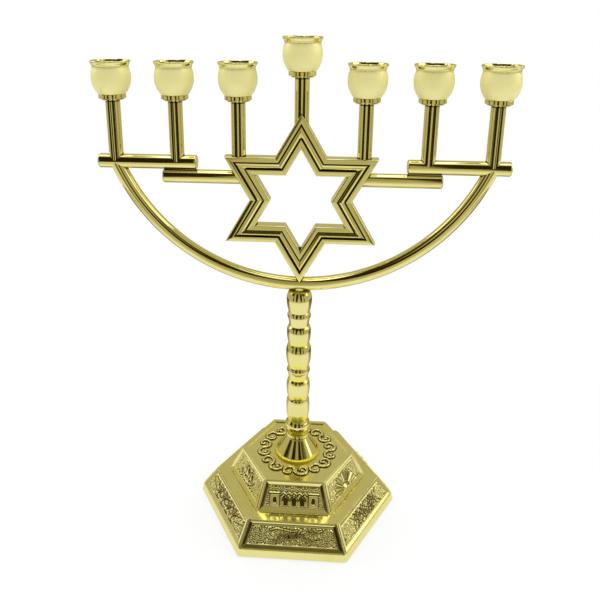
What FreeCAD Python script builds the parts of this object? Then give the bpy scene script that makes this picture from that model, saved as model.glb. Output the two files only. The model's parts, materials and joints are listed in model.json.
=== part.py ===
"""Seven-branched menorah with a hexagram frame on a stepped hexagonal base.

Millimetres.  The origin is the middle of the felt pad's underside: +Z is up, X runs along
the row of candle cups and -Y is the front.  The pieces stack on one tie rod: base casting,
turned column pieces, then the branch head, whose bow sits on the column's top.  Seven cups
screw on to the studs of the seven candle stems.
"""

import FreeCAD, Part

import math
import os
import re

import Sketcher

SHEET_NAME = "Dimensions"
PARTS_FOLDER = "parts"
BRANCH_COUNT = 7
HEX_SIDES = 6
SCALLOP_COUNT = 8
FULL_TURN = 360
EDGE_TOLERANCE = 0.01

DIMENSIONS = {
    # how far a cutting shape runs past what it cuts
    "cut_overrun": 1.0,
    # branch head: spacing and levels
    "candle_pitch": 33.65,
    "side_stem_length": 33.2,
    "centre_stem_rise": 13.0,
    "head_seat_drop": 0.4,
    "head_seat_radius": 3.4,
    # bow, the arc that carries the branches
    "bow_rise": 69.08,
    "bow_bar_radius": 3.85,
    # crossbars
    "upper_bar_radius": 3.9,
    "upper_bar_inner_reach": 10.8,
    "upper_bar_outer_reach": 9.8,
    "lower_bar_radius": 3.75,
    "lower_bar_outer_reach": 8.25,
    "bar_gap": 0.1,
    "bar_end_round": 1.1,
    "web_thickness": 2.6,
    "web_inset": 1.0,
    # candle stems, reeded round bar
    "stem_radius": 3.85,
    "flute_radius": 0.55,
    "flute_offset": 1.25,
    "stud_radius": 2.0,
    "stud_length": 4.0,
    # hexagram frame
    "star_shoulder": 11.9,
    "star_band": 9.57,
    "star_edge_round": 0.6,
    "star_shoulder_depth": 3.9,
    "star_flank_depth": 4.05,
    "star_groove_depth": 3.2,
    "star_rib_depth": 4.38,
    "star_crest_depth": 4.5,
    "star_flank_offset": 2.15,
    "star_groove_offset": 1.75,
    "star_rib_offset": 0.35,
    "star_bow_bite": 2.25,
    # candle cup
    "cup_height": 20.5,
    "cup_lip_radius": 4.8,
    "cup_lip_height": 0.7,
    "cup_collar_radius": 7.35,
    "cup_collar_height": 1.9,
    "cup_waist_radius": 6.95,
    "cup_waist_rise": 0.4,
    "cup_belly_radius": 10.35,
    "cup_belly_level": 11.7,
    "cup_neck_radius": 9.4,
    "cup_neck_level": 17.3,
    "cup_rim_radius": 10.5,
    "cup_rim_wall": 0.8,
    "cup_throat_level": 16.6,
    "socket_radius": 5.5,
    "socket_floor": 6.0,
    "scallop_radius": 6.0,
    "scallop_depth": 0.5,
    "stud_bore_depth": 4.4,
    "running_clearance": 0.06,
    # column pieces, bottom to top
    "foot_height": 13.35,
    "foot_flange_radius": 13.5,
    "foot_flange_height": 1.3,
    "foot_flange_crown": 0.35,
    "foot_cone_radius": 12.6,
    "foot_top_radius": 6.4,
    "foot_cone_level": 10.9,
    "foot_ring_radius": 6.75,
    "collar_bead_height": 9.7,
    "collar_bead_radius": 7.45,
    "long_bead_height": 15.0,
    "long_bead_radius": 7.0,
    "fourth_bead_height": 12.8,
    "fourth_bead_radius": 6.95,
    "lower_ring_height": 8.1,
    "third_bead_height": 15.2,
    "third_bead_radius": 7.4,
    "second_bead_height": 11.7,
    "second_bead_radius": 7.0,
    "upper_ring_height": 8.6,
    "first_bead_height": 12.8,
    "first_bead_radius": 7.25,
    "bead_foot_radius": 6.0,
    "bead_top_radius": 5.9,
    "bead_shoulder_radius": 6.5,
    "bead_shoulder_drop": 1.1,
    "bead_belly_share": 0.62,
    "ring_radius": 6.8,
    "ring_neck_radius": 5.75,
    "ring_belly_share": 0.68,
    "column_bore_clearance": 0.2,
    # stepped hexagonal base (radii are across the corners, halved; insets are steps inward)
    "pad_reveal": 0.6,
    "rim_rise": 4.0,
    "lower_tier_rise": 12.9,
    "upper_tier_rise": 16.25,
    "rim_foot_radius": 60.6,
    "rim_inset": 1.1,
    "lower_tier_inset": 10.1,
    "ledge_width": 7.4,
    "upper_tier_inset": 8.6,
    "field_border": 2.4,
    "field_recess": 0.6,
    "panel_border": 2.1,
    "panel_depth": 0.8,
    "corner_round": 2.0,
    "casting_wall": 2.6,
    "boss_radius": 7.0,
    "boss_height": 7.0,
    # felt pad and the tie rod with its nut
    "pad_thickness": 1.5,
    "pad_inset": 1.8,
    "pad_clearance": 0.2,
    "rod_radius": 2.5,
    "rod_end_gap": 0.4,
    "rod_tail": 1.2,
    "rod_chamfer": 0.5,
    "washer_radius": 6.0,
    "washer_thickness": 1.0,
    "nut_radius": 4.6,
    "nut_height": 4.0,
    "nut_bore_clearance": 0.05,
}

# levels and reaches that follow from the sizes above
RIM_TOP = "(pad_reveal + rim_rise)"
LEDGE = f"({RIM_TOP} + lower_tier_rise)"
BASE_TOP = f"({LEDGE} + upper_tier_rise)"
FIELD = f"({BASE_TOP} - field_recess)"
PLATFORM_UNDERSIDE = f"({FIELD} - casting_wall)"
BOSS_FACE = f"({PLATFORM_UNDERSIDE} - boss_height)"
NUT_TOP = f"({BOSS_FACE} - washer_thickness)"
ROD_FOOT = f"({NUT_TOP} - nut_height - rod_tail)"
WALL_INSET = "(casting_wall / cos(30))"
RIM_TOP_RADIUS = "(rim_foot_radius - rim_inset)"
LOWER_TOP_RADIUS = f"({RIM_TOP_RADIUS} - lower_tier_inset)"
UPPER_FOOT_RADIUS = f"({LOWER_TOP_RADIUS} - ledge_width)"
UPPER_TOP_RADIUS = f"({UPPER_FOOT_RADIUS} - upper_tier_inset)"

COLLAR_FOOT = f"({FIELD} + foot_height)"
LONG_BEAD_FOOT = f"({COLLAR_FOOT} + collar_bead_height)"
LOWER_SPINDLE_FOOT = f"({LONG_BEAD_FOOT} + long_bead_height)"
LOWER_SPINDLE_HEIGHT = "(fourth_bead_height + lower_ring_height + third_bead_height)"
UPPER_SPINDLE_FOOT = f"({LOWER_SPINDLE_FOOT} + {LOWER_SPINDLE_HEIGHT})"
UPPER_SPINDLE_HEIGHT = "(second_bead_height + upper_ring_height + first_bead_height)"
COLUMN_TOP = f"({UPPER_SPINDLE_FOOT} + {UPPER_SPINDLE_HEIGHT})"

# inside the branch head, levels are measured from the column's top
OUTER_STEM = "(3 * candle_pitch)"
ROD_REACH = "(head_seat_drop + bow_bar_radius)"
BOW_RADIUS = f"(({OUTER_STEM}^2 / bow_rise + bow_rise) / 2)"
BOW_CENTRE = f"({ROD_REACH} + {BOW_RADIUS})"
UPPER_BAR = f"({ROD_REACH} + bow_rise)"
LOWER_BAR_DROP = "(upper_bar_radius + lower_bar_radius + bar_gap)"
LOWER_BAR = f"({UPPER_BAR} - {LOWER_BAR_DROP})"
UPPER_BAR_START = "(2 * candle_pitch - upper_bar_inner_reach)"
UPPER_BAR_END = "(3 * candle_pitch + upper_bar_outer_reach)"
LOWER_BAR_END = "(2 * candle_pitch + lower_bar_outer_reach)"
SIDE_SEAT = f"({UPPER_BAR} + side_stem_length)"
CENTRE_SEAT = f"({SIDE_SEAT} + centre_stem_rise)"
STAR_FOOT = "(head_seat_drop + 2 * bow_bar_radius - star_bow_bite)"
STAR_TOP_EDGE = f"({LOWER_BAR} + star_shoulder)"
STAR_RADIUS = f"(({STAR_TOP_EDGE} - {STAR_FOOT}) * 2 / 3)"
STAR_CENTRE = f"({STAR_FOOT} + {STAR_RADIUS})"
STAR_APEX = f"({STAR_CENTRE} + {STAR_RADIUS})"


def formula(text: str) -> str:
    """Turn sheet names in an expression into references to the sheet's cells."""
    return re.sub(r"[a-z_]+", lambda word: f"{SHEET_NAME}.{word[0]}" if word[0] in DIMENSIONS else word[0],
                  text)


def make_sheet(document):
    """Write every driving dimension into the sheet, one named cell each."""
    sheet = document.addObject("Spreadsheet::Sheet", SHEET_NAME)
    for row, (alias, size) in enumerate(DIMENSIONS.items(), start=1):
        sheet.set(f"A{row}", alias)
        sheet.set(f"B{row}", str(size))
        sheet.setAlias(f"B{row}", alias)
    document.recompute()
    return sheet


class Modeller:
    """Builds bodies whose sketches and features are bound to the sheet."""

    def __init__(self, document):
        self.document = document
        self.sheet = make_sheet(document)
        self.pieces = []

    def size(self, text: str) -> float:
        """Present value of an expression, used to start sketch geometry in place."""
        result = self.sheet.evalExpression(formula(text))
        return float(getattr(result, "Value", result))

    def bind(self, target, prop: str, text: str) -> None:
        """Bind one property of a document object to an expression."""
        if text != "0":
            target.setExpression(prop, formula(text))

    def body(self, label: str, x: str = "0", z: str = "0", piece: bool = True):
        """Start a body whose local origin lies at (x, 0, z)."""
        body = self.document.addObject("PartDesign::Body", label)
        body.Label = label
        self.bind(body, "Placement.Base.x", x)
        self.bind(body, "Placement.Base.z", z)
        if piece:
            self.pieces.append(body)
        return body

    def origin(self, body, role: str):
        """One of the body's own origin planes or axes."""
        return next(item for item in body.Origin.OriginFeatures if item.Role == role)

    def sketch(self, body, plane: str, name: str, lift: str = "0"):
        """An empty sketch on an origin plane, lifted along the plane's normal."""
        sketch = body.newObject("Sketcher::SketchObject", name)
        sketch.AttachmentSupport = [(self.origin(body, plane), "")]
        sketch.MapMode = "FlatFace"
        self.bind(sketch, "AttachmentOffset.Base.z", lift)
        return sketch

    def locate(self, sketch, geometry: int, point: int, x: str, y: str) -> None:
        """Fix a sketch point at (x, y), with the axes standing for zero."""
        for kind, axis, text in (("DistanceX", -2, x), ("DistanceY", -1, y)):
            if text == "0":
                sketch.addConstraint(Sketcher.Constraint("PointOnObject", geometry, point, axis))
                continue
            index = sketch.addConstraint(
                Sketcher.Constraint(kind, -1, 1, geometry, point, self.size(text)))
            self.bind(sketch, f"Constraints[{index}]", text)

    def circle(self, sketch, radius: str, x: str = "0", y: str = "0") -> None:
        """Draw a circle bound to its radius and its centre."""
        centre = FreeCAD.Vector(self.size(x), self.size(y), 0)
        index = sketch.addGeometry(Part.Circle(centre, FreeCAD.Vector(0, 0, 1), self.size(radius)))
        rule = sketch.addConstraint(Sketcher.Constraint("Radius", index, self.size(radius)))
        self.bind(sketch, f"Constraints[{rule}]", radius)
        if x == "0" and y == "0":
            sketch.addConstraint(Sketcher.Constraint("Coincident", index, 3, -1, 1))
        else:
            self.locate(sketch, index, 3, x, y)

    def hexagon(self, sketch, radius: str) -> None:
        """Draw a regular hexagon round the origin with two corners on the X axis."""
        reach = self.size(radius)
        corners = [FreeCAD.Vector(reach * math.cos(math.pi / 3 * step),
                                  reach * math.sin(math.pi / 3 * step), 0) for step in range(HEX_SIDES)]
        sides = [sketch.addGeometry(Part.LineSegment(corners[step], corners[(step + 1) % HEX_SIDES]))
                 for step in range(HEX_SIDES)]
        ring = sketch.addGeometry(Part.Circle(FreeCAD.Vector(), FreeCAD.Vector(0, 0, 1), reach), True)
        sketch.addConstraint(Sketcher.Constraint("Coincident", ring, 3, -1, 1))
        rule = sketch.addConstraint(Sketcher.Constraint("Radius", ring, reach))
        self.bind(sketch, f"Constraints[{rule}]", radius)
        for step, side in enumerate(sides):
            following = sides[(step + 1) % HEX_SIDES]
            sketch.addConstraint(Sketcher.Constraint("Coincident", side, 2, following, 1))
            sketch.addConstraint(Sketcher.Constraint("PointOnObject", side, 1, ring))
            if step:
                sketch.addConstraint(Sketcher.Constraint("Equal", sides[0], side))
        sketch.addConstraint(Sketcher.Constraint("PointOnObject", sides[0], 1, -1))

    def outline(self, sketch, corners) -> None:
        """Draw a closed outline of lines and arcs.

        Each corner is (x, y) or (x, y, level): with a level, the edge that leaves the
        corner is an arc whose centre lies at that height.
        """
        spots = [FreeCAD.Vector(self.size(corner[0]), self.size(corner[1]), 0) for corner in corners]
        ends = []
        for step, corner in enumerate(corners):
            start, finish = spots[step], spots[(step + 1) % len(spots)]
            if len(corner) == 2:
                ends.append((sketch.addGeometry(Part.LineSegment(start, finish)), 1, 2))
                continue
            ends.append(self.arc(sketch, start, finish, corner[2]))
        for step, (index, first, last) in enumerate(ends):
            following, its_first, _ = ends[(step + 1) % len(ends)]
            sketch.addConstraint(Sketcher.Constraint("Coincident", index, last, following, its_first))
            self.locate(sketch, index, first, corners[step][0], corners[step][1])

    def arc(self, sketch, start, finish, level: str):
        """Draw the short arc from start to finish whose centre lies at the given height."""
        height = self.size(level)
        squares = (finish.x ** 2 + finish.y ** 2 - start.x ** 2 - start.y ** 2) / 2
        across = (squares - height * (finish.y - start.y)) / (finish.x - start.x)
        centre = FreeCAD.Vector(across, height, 0)
        first, last = start - centre, finish - centre
        forward = first.cross(last).z > 0
        begin, stop = (first, last) if forward else (last, first)
        circle = Part.Circle(centre, FreeCAD.Vector(0, 0, 1), first.Length)
        index = sketch.addGeometry(Part.ArcOfCircle(circle, math.atan2(begin.y, begin.x),
                                                    math.atan2(stop.y, stop.x)))
        if level == "0":
            sketch.addConstraint(Sketcher.Constraint("PointOnObject", index, 3, -1))
        else:
            rule = sketch.addConstraint(Sketcher.Constraint("DistanceY", -1, 1, index, 3, height))
            self.bind(sketch, f"Constraints[{rule}]", level)
        return (index, 1, 2) if forward else (index, 2, 1)

    def pad(self, body, sketch, length: str, both_ways: bool = False, name: str = "Pad"):
        """Extrude a sketch along its normal."""
        pad = body.newObject("PartDesign::Pad", name)
        pad.Profile = sketch
        pad.SideType = "Symmetric" if both_ways else "One side"
        self.bind(pad, "Length", length)
        return pad

    def pocket(self, body, sketch, length: str, both_ways: bool = False, upward: bool = False,
               name: str = "Pocket"):
        """Cut a sketch against its normal, along it, or both ways."""
        pocket = body.newObject("PartDesign::Pocket", name)
        pocket.Profile = sketch
        pocket.SideType = "Symmetric" if both_ways else "One side"
        pocket.Reversed = upward
        self.bind(pocket, "Length", length)
        return pocket

    def revolve(self, body, sketch, name: str = "Turned"):
        """Turn a sketch a full turn about its vertical axis."""
        turned = body.newObject("PartDesign::Revolution", name)
        turned.Profile = sketch
        turned.ReferenceAxis = (sketch, ["V_Axis"])
        turned.Angle = FULL_TURN
        return turned

    def loft(self, body, sections, cut: bool = False, name: str = "Loft"):
        """Join sections, top one first, with flat faces, as added or removed material."""
        loft = body.newObject("PartDesign::SubtractiveLoft" if cut else "PartDesign::AdditiveLoft", name)
        loft.Profile = sections[0]
        loft.Sections = sections[1:]
        loft.Ruled = True
        return loft

    def turn_pattern(self, body, features, axis: str, copies: int, whole: bool = False,
                     name: str = "Round"):
        """Repeat features, or the whole body so far, evenly round an origin axis."""
        pattern = body.newObject("PartDesign::PolarPattern", name)
        if whole:
            pattern.TransformMode = "Whole shape"
        else:
            pattern.Originals = features
        pattern.Axis = (self.origin(body, axis), [""])
        pattern.Angle = FULL_TURN
        pattern.Occurrences = copies
        body.Tip = pattern
        return pattern

    def edges(self, body, wanted):
        """Names of the present edges of a body for which wanted(edge) is true."""
        self.document.recompute()
        feature = body.Tip
        return feature, [f"Edge{number}" for number, edge in enumerate(feature.Shape.Edges, start=1)
                         if wanted(edge)]

    def fillet(self, body, wanted, radius: str, name: str = "Fillet"):
        """Round chosen edges of the body as it stands."""
        feature, names = self.edges(body, wanted)
        fillet = body.newObject("PartDesign::Fillet", name)
        fillet.Base = (feature, names)
        self.bind(fillet, "Radius", radius)
        return fillet

    def coped(self, label: str, blank, other) -> None:
        """A piece cut to fit round a piece that it is soldered against."""
        cut = self.document.addObject("Part::Cut", label)
        cut.Base = blank
        cut.Tool = other
        cut.Label = label
        self.pieces.append(cut)


def bead_corners(foot: str, height: str, radius: str):
    """Outer corners of one bead: a barrel that is widest above its middle, with a shoulder."""
    belly = f"{foot} + {height} * bead_belly_share"
    top = f"{foot} + {height}"
    return [("bead_foot_radius", foot, belly), (radius, belly, belly),
            ("bead_shoulder_radius", f"{top} - bead_shoulder_drop"), ("bead_top_radius", top)]


def ring_corners(foot: str, height: str):
    """Outer corners of one ring: a short swell above a concave neck."""
    belly = f"{foot} + {height} * ring_belly_share"
    return [("ring_neck_radius", foot, foot), ("ring_radius", belly, belly),
            ("bead_top_radius", f"{foot} + {height}")]


def column_piece(modeller: Modeller, label: str, foot: str, height: str, corners):
    """Turn one bored piece of the column from its outer corners, bottom to top."""
    body = modeller.body(label, z=foot)
    bore = "rod_radius + column_bore_clearance"
    profile = modeller.sketch(body, "XZ_Plane", f"{label}_profile")
    modeller.outline(profile, [(bore, "0"), *corners, (bore, height)])
    modeller.revolve(body, profile)
    return body


def column(modeller: Modeller) -> None:
    """The five turned pieces that stand on the base."""
    column_piece(modeller, "column_foot", FIELD, "foot_height", [
        ("foot_flange_radius", "0"),
        ("foot_flange_radius", "foot_flange_height"),
        ("foot_cone_radius", "foot_flange_height + foot_flange_crown"),
        ("foot_top_radius", "foot_cone_level"),
        ("foot_ring_radius", "(foot_cone_level + foot_height) / 2"),
        ("foot_top_radius", "foot_height")])
    single_beads = (("collar_bead", COLLAR_FOOT), ("long_bead", LONG_BEAD_FOOT))
    for label, foot in single_beads:
        height = f"{label}_height"
        column_piece(modeller, label, foot, height, bead_corners("0", height, f"{label}_radius"))
    spindles = (
        ("lower_spindle", LOWER_SPINDLE_FOOT, LOWER_SPINDLE_HEIGHT,
         ("fourth_bead", "lower_ring", "third_bead")),
        ("upper_spindle", UPPER_SPINDLE_FOOT, UPPER_SPINDLE_HEIGHT,
         ("second_bead", "upper_ring", "first_bead")),
    )
    for label, foot, height, (low_bead, ring, high_bead) in spindles:
        ring_foot = f"{low_bead}_height"
        high_foot = f"({ring_foot} + {ring}_height)"
        corners = (bead_corners("0", f"{low_bead}_height", f"{low_bead}_radius")[:-1]
                   + ring_corners(ring_foot, f"{ring}_height")[:-1]
                   + bead_corners(high_foot, f"{high_bead}_height", f"{high_bead}_radius"))
        column_piece(modeller, label, foot, height, corners)


def hexagon_section(modeller: Modeller, body, name: str, level: str, radius: str):
    """A hexagon sketch at a level of the base."""
    sketch = modeller.sketch(body, "XY_Plane", name, lift=level)
    modeller.hexagon(sketch, radius)
    return sketch


def sloped_panel(modeller: Modeller, body, name: str, foot: str, rise: str, foot_radius: str,
                 top_radius: str) -> None:
    """Sink one framed field into each of a tier's six sloping faces."""
    run = f"(({foot_radius} - {top_radius}) * cos(30))"
    slope = f"sqrt({rise}^2 + {run}^2)"
    narrowing = f"(({foot_radius} - {top_radius}) / 2)"
    side = f"sqrt({slope}^2 + {narrowing}^2)"
    high = f"({slope} - panel_border)"

    def half_width(level: str) -> str:
        return f"({foot_radius} / 2 - {narrowing} * {level} / {slope} - panel_border * {side} / {slope})"

    sketch = modeller.sketch(body, "XZ_Plane", name)
    lean = FreeCAD.Rotation(FreeCAD.Vector(-1, 0, 0), modeller.size(f"atan({run} / {rise})"))
    sketch.AttachmentOffset = FreeCAD.Placement(FreeCAD.Vector(), lean)
    modeller.bind(sketch, "AttachmentOffset.Base.y", foot)
    modeller.bind(sketch, "AttachmentOffset.Base.z", f"{foot_radius} * cos(30)")
    modeller.bind(sketch, "AttachmentOffset.Rotation.Angle", f"atan({run} / {rise})")
    modeller.outline(sketch, [(f"-{half_width('panel_border')}", "panel_border"),
                              (half_width("panel_border"), "panel_border"),
                              (half_width(high), high),
                              (f"-{half_width(high)}", high)])
    pocket = modeller.pocket(body, sketch, "panel_depth", name=f"{name}_pocket")
    modeller.turn_pattern(body, [pocket], "Z_Axis", HEX_SIDES, name=f"{name}_round")


def slanting(low: float, high: float):
    """A test for the edges that climb through most of the band between two levels."""
    def wanted(edge) -> bool:
        heights = sorted(vertex.Z for vertex in edge.Vertexes)
        inside = low - EDGE_TOLERANCE < heights[0] and heights[-1] < high + EDGE_TOLERANCE
        return inside and heights[-1] - heights[0] > (high - low) / 2
    return wanted


def base_casting(modeller: Modeller) -> None:
    """The hollow two-tier hexagonal casting with framed panels and a rod boss."""
    body = modeller.body("base_casting")
    modeller.loft(body, [
        hexagon_section(modeller, body, "ledge_edge", LEDGE, LOWER_TOP_RADIUS),
        hexagon_section(modeller, body, "rim_top", RIM_TOP, RIM_TOP_RADIUS),
        hexagon_section(modeller, body, "rim_foot", "pad_reveal", "rim_foot_radius")], name="LowerTier")
    levels = [modeller.size(level) for level in ("pad_reveal", RIM_TOP, LEDGE)]
    modeller.fillet(body, slanting(levels[0], levels[1]), "corner_round", "RimCorners")
    modeller.fillet(body, slanting(levels[1], levels[2]), "corner_round", "TierCorners")
    modeller.loft(body, [
        hexagon_section(modeller, body, "upper_top", BASE_TOP, UPPER_TOP_RADIUS),
        hexagon_section(modeller, body, "upper_foot", LEDGE, UPPER_FOOT_RADIUS)], name="UpperTier")
    sloped_panel(modeller, body, "lower_panel", RIM_TOP, "lower_tier_rise", RIM_TOP_RADIUS,
                 LOWER_TOP_RADIUS)
    sloped_panel(modeller, body, "upper_panel", LEDGE, "upper_tier_rise", UPPER_FOOT_RADIUS,
                 UPPER_TOP_RADIUS)
    field_reach = f"{UPPER_TOP_RADIUS} - field_border / cos(30)"
    field = hexagon_section(modeller, body, "field", BASE_TOP, field_reach)
    modeller.pocket(body, field, "field_recess", name="FieldRecess")
    lower_slope = "lower_tier_inset / lower_tier_rise"
    upper_slope = "upper_tier_inset / upper_tier_rise"
    cavity_step = f"({LEDGE} - casting_wall)"
    modeller.loft(body, [
        hexagon_section(modeller, body, "cavity_step", cavity_step,
                        f"{LOWER_TOP_RADIUS} + casting_wall * {lower_slope} - {WALL_INSET}"),
        hexagon_section(modeller, body, "cavity_bend", RIM_TOP, f"{RIM_TOP_RADIUS} - {WALL_INSET}"),
        hexagon_section(modeller, body, "cavity_mouth", "pad_reveal",
                        f"{RIM_TOP_RADIUS} - {WALL_INSET}")],
        cut=True, name="LowerCavity")
    modeller.loft(body, [
        hexagon_section(modeller, body, "cavity_top", PLATFORM_UNDERSIDE,
                        f"{UPPER_TOP_RADIUS} + (field_recess + casting_wall) * {upper_slope} - {WALL_INSET}"),
        hexagon_section(modeller, body, "cavity_waist", cavity_step, f"{UPPER_FOOT_RADIUS} - {WALL_INSET}")],
        cut=True, name="UpperCavity")
    boss = modeller.sketch(body, "XY_Plane", "boss", lift=BOSS_FACE)
    modeller.circle(boss, "boss_radius")
    modeller.pad(body, boss, "boss_height", name="Boss")
    rebate = hexagon_section(modeller, body, "pad_rebate", "pad_reveal",
                             "rim_foot_radius - pad_inset + pad_clearance")
    modeller.pocket(body, rebate, "pad_thickness - pad_reveal", upward=True, name="PadRebate")
    bore = modeller.sketch(body, "XY_Plane", "rod_bore", lift=BOSS_FACE)
    modeller.circle(bore, "rod_radius + column_bore_clearance")
    modeller.pocket(body, bore, "boss_height + casting_wall", upward=True, name="RodBore")


def felt_pad(modeller: Modeller) -> None:
    """The hexagonal felt sheet glued into the rebate under the base."""
    body = modeller.body("felt_pad")
    sheet = hexagon_section(modeller, body, "felt_outline", "0", "rim_foot_radius - pad_inset")
    modeller.pad(body, sheet, "pad_thickness")


def tie_rod(modeller: Modeller) -> None:
    """The rod that clamps the column, with its washer and nut inside the base."""
    rod = modeller.body("tie_rod", z=ROD_FOOT)
    section = modeller.sketch(rod, "XY_Plane", "rod_section")
    modeller.circle(section, "rod_radius")
    modeller.pad(rod, section, f"{COLUMN_TOP} + {ROD_REACH} - {ROD_FOOT}")
    feature, names = modeller.edges(rod, lambda edge: edge.Length > math.pi and len(edge.Vertexes) == 1)
    chamfer = rod.newObject("PartDesign::Chamfer", "RodEnds")
    chamfer.Base = (feature, names)
    modeller.bind(chamfer, "Size", "rod_chamfer")
    washer = modeller.body("rod_washer", z=NUT_TOP)
    ring = modeller.sketch(washer, "XY_Plane", "washer_ring")
    modeller.circle(ring, "washer_radius")
    modeller.circle(ring, "rod_radius + column_bore_clearance")
    modeller.pad(washer, ring, "washer_thickness")
    nut = modeller.body("rod_nut", z=f"{NUT_TOP} - nut_height")
    flats = modeller.sketch(nut, "XY_Plane", "nut_flats")
    modeller.hexagon(flats, "nut_radius")
    modeller.circle(flats, "rod_radius + nut_bore_clearance")
    modeller.pad(nut, flats, "nut_height")


def bow(modeller: Modeller):
    """The arc that carries the branches, seated on the column and bored for the rod."""
    body = modeller.body("bow", z=COLUMN_TOP)
    section = modeller.sketch(body, "YZ_Plane", "bow_section")
    modeller.circle(section, "bow_bar_radius", y=ROD_REACH)
    height = modeller.size(BOW_CENTRE)
    line = Part.LineSegment(FreeCAD.Vector(-1, height, 0), FreeCAD.Vector(1, height, 0))
    pivot = section.addGeometry(line, True)
    modeller.locate(section, pivot, 1, "-candle_pitch", BOW_CENTRE)
    modeller.locate(section, pivot, 2, "candle_pitch", BOW_CENTRE)
    arc = body.newObject("PartDesign::Revolution", "BowArc")
    arc.Profile = section
    arc.ReferenceAxis = (section, ["Axis0"])
    arc.Midplane = True
    modeller.bind(arc, "Angle", f"2 * asin({OUTER_STEM} / {BOW_RADIUS})")
    seat = modeller.sketch(body, "XY_Plane", "head_seat")
    modeller.circle(seat, "head_seat_radius")
    modeller.pad(body, seat, ROD_REACH, name="HeadSeat")
    bore = modeller.sketch(body, "XY_Plane", "head_bore")
    modeller.circle(bore, "rod_radius + running_clearance")
    modeller.pocket(body, bore, f"{ROD_REACH} + rod_end_gap", upward=True, name="HeadBore")
    notch = modeller.sketch(body, "YZ_Plane", "bar_notch")
    modeller.circle(notch, "upper_bar_radius", y=UPPER_BAR)
    modeller.pocket(body, notch, f"2 * ({OUTER_STEM} + bow_bar_radius)", both_ways=True, name="BarNotch")
    return body


def mirrored(corners):
    """The same corners beyond the vertical axis, in reverse order, with their arcs kept."""
    arcs = [()] + [corner[2:] for corner in corners[:-1]]
    return [(f"-{x}", y, *arc) for (x, y), arc in reversed([(corner[:2], arc)
                                                            for corner, arc in zip(corners, arcs)])]


def limb_corners():
    """One side of the hexagram's reeded band: rounded edge, flank, groove, rib and the same again."""
    middle = f"({STAR_RADIUS} / 2 - star_band / 2)"
    low_flank, high_flank = (f"{middle} {sign} star_flank_offset" for sign in "-+")
    low_shoulder = f"{middle} - star_band / 2 + star_edge_round"
    high_shoulder = f"{middle} + star_band / 2 - star_edge_round"
    edge_depth = "(star_shoulder_depth - star_edge_round)"
    return [(edge_depth, f"{middle} - star_band / 2", low_shoulder),
            ("star_shoulder_depth", low_shoulder, low_flank),
            ("star_flank_depth", low_flank),
            ("star_groove_depth", f"{middle} - star_groove_offset"),
            ("star_rib_depth", f"{middle} - star_rib_offset", middle),
            ("star_crest_depth", middle, middle),
            ("star_rib_depth", f"{middle} + star_rib_offset"),
            ("star_groove_depth", f"{middle} + star_groove_offset"),
            ("star_flank_depth", high_flank, high_flank),
            ("star_shoulder_depth", high_shoulder, high_shoulder),
            (edge_depth, f"{middle} + star_band / 2")]


def star_blank(modeller: Modeller):
    """The hexagram: one reeded limb, mitred at both ends, mirrored and turned six times."""
    body = modeller.body("star_blank", z=f"{COLUMN_TOP} + {STAR_CENTRE}", piece=False)
    section = modeller.sketch(body, "YZ_Plane", "limb_section")
    side = limb_corners()
    modeller.outline(section, side + mirrored(side))
    modeller.pad(body, section, STAR_RADIUS, name="Limb")
    low = f"({STAR_RADIUS} / 2 - star_band - cut_overrun)"
    high = f"({STAR_RADIUS} / 2 + cut_overrun)"
    for name, angle, far in (("inner_mitre", 60, "-star_band"), ("tip_mitre", 30, f"2 * {STAR_RADIUS}")):
        mitre = modeller.sketch(body, "XZ_Plane", name)
        modeller.outline(mitre, [(f"{low} / tan({angle})", low), (f"{high} / tan({angle})", high),
                                 (far, high), (far, low)])
        modeller.pocket(body, mitre, "2 * (star_crest_depth + cut_overrun)", both_ways=True,
                        name=f"{name}_cut")
    pair = body.newObject("PartDesign::Mirrored", "LimbPair")
    pair.TransformMode = "Whole shape"
    pair.MirrorPlane = (modeller.origin(body, "YZ_Plane"), [""])
    body.Tip = pair
    modeller.turn_pattern(body, [], "Y_Axis", HEX_SIDES, whole=True, name="Hexagram")
    return body


def crossbar(modeller: Modeller, label: str, level: str, radius: str, start: str, finish: str,
             turned: bool):
    """A round bar along X from start to finish, turned about Z for the left side."""
    body = modeller.body(label, z=f"{COLUMN_TOP} + {level}")
    if turned:
        body.Placement.Rotation = FreeCAD.Rotation(FreeCAD.Vector(0, 0, 1), FULL_TURN / 2)
    section = modeller.sketch(body, "YZ_Plane", f"{label}_section", lift=start)
    modeller.circle(section, radius)
    modeller.pad(body, section, f"{finish} - {start}")
    return body


def upper_crossbar(modeller: Modeller, side: str) -> None:
    """A bar that carries the two outer stems of one side."""
    body = crossbar(modeller, f"upper_crossbar_{side}", UPPER_BAR, "upper_bar_radius", UPPER_BAR_START,
                    UPPER_BAR_END, turned=side == "left")
    modeller.fillet(body, lambda edge: edge.Closed, "bar_end_round", f"UpperBarEnds_{side}")


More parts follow.
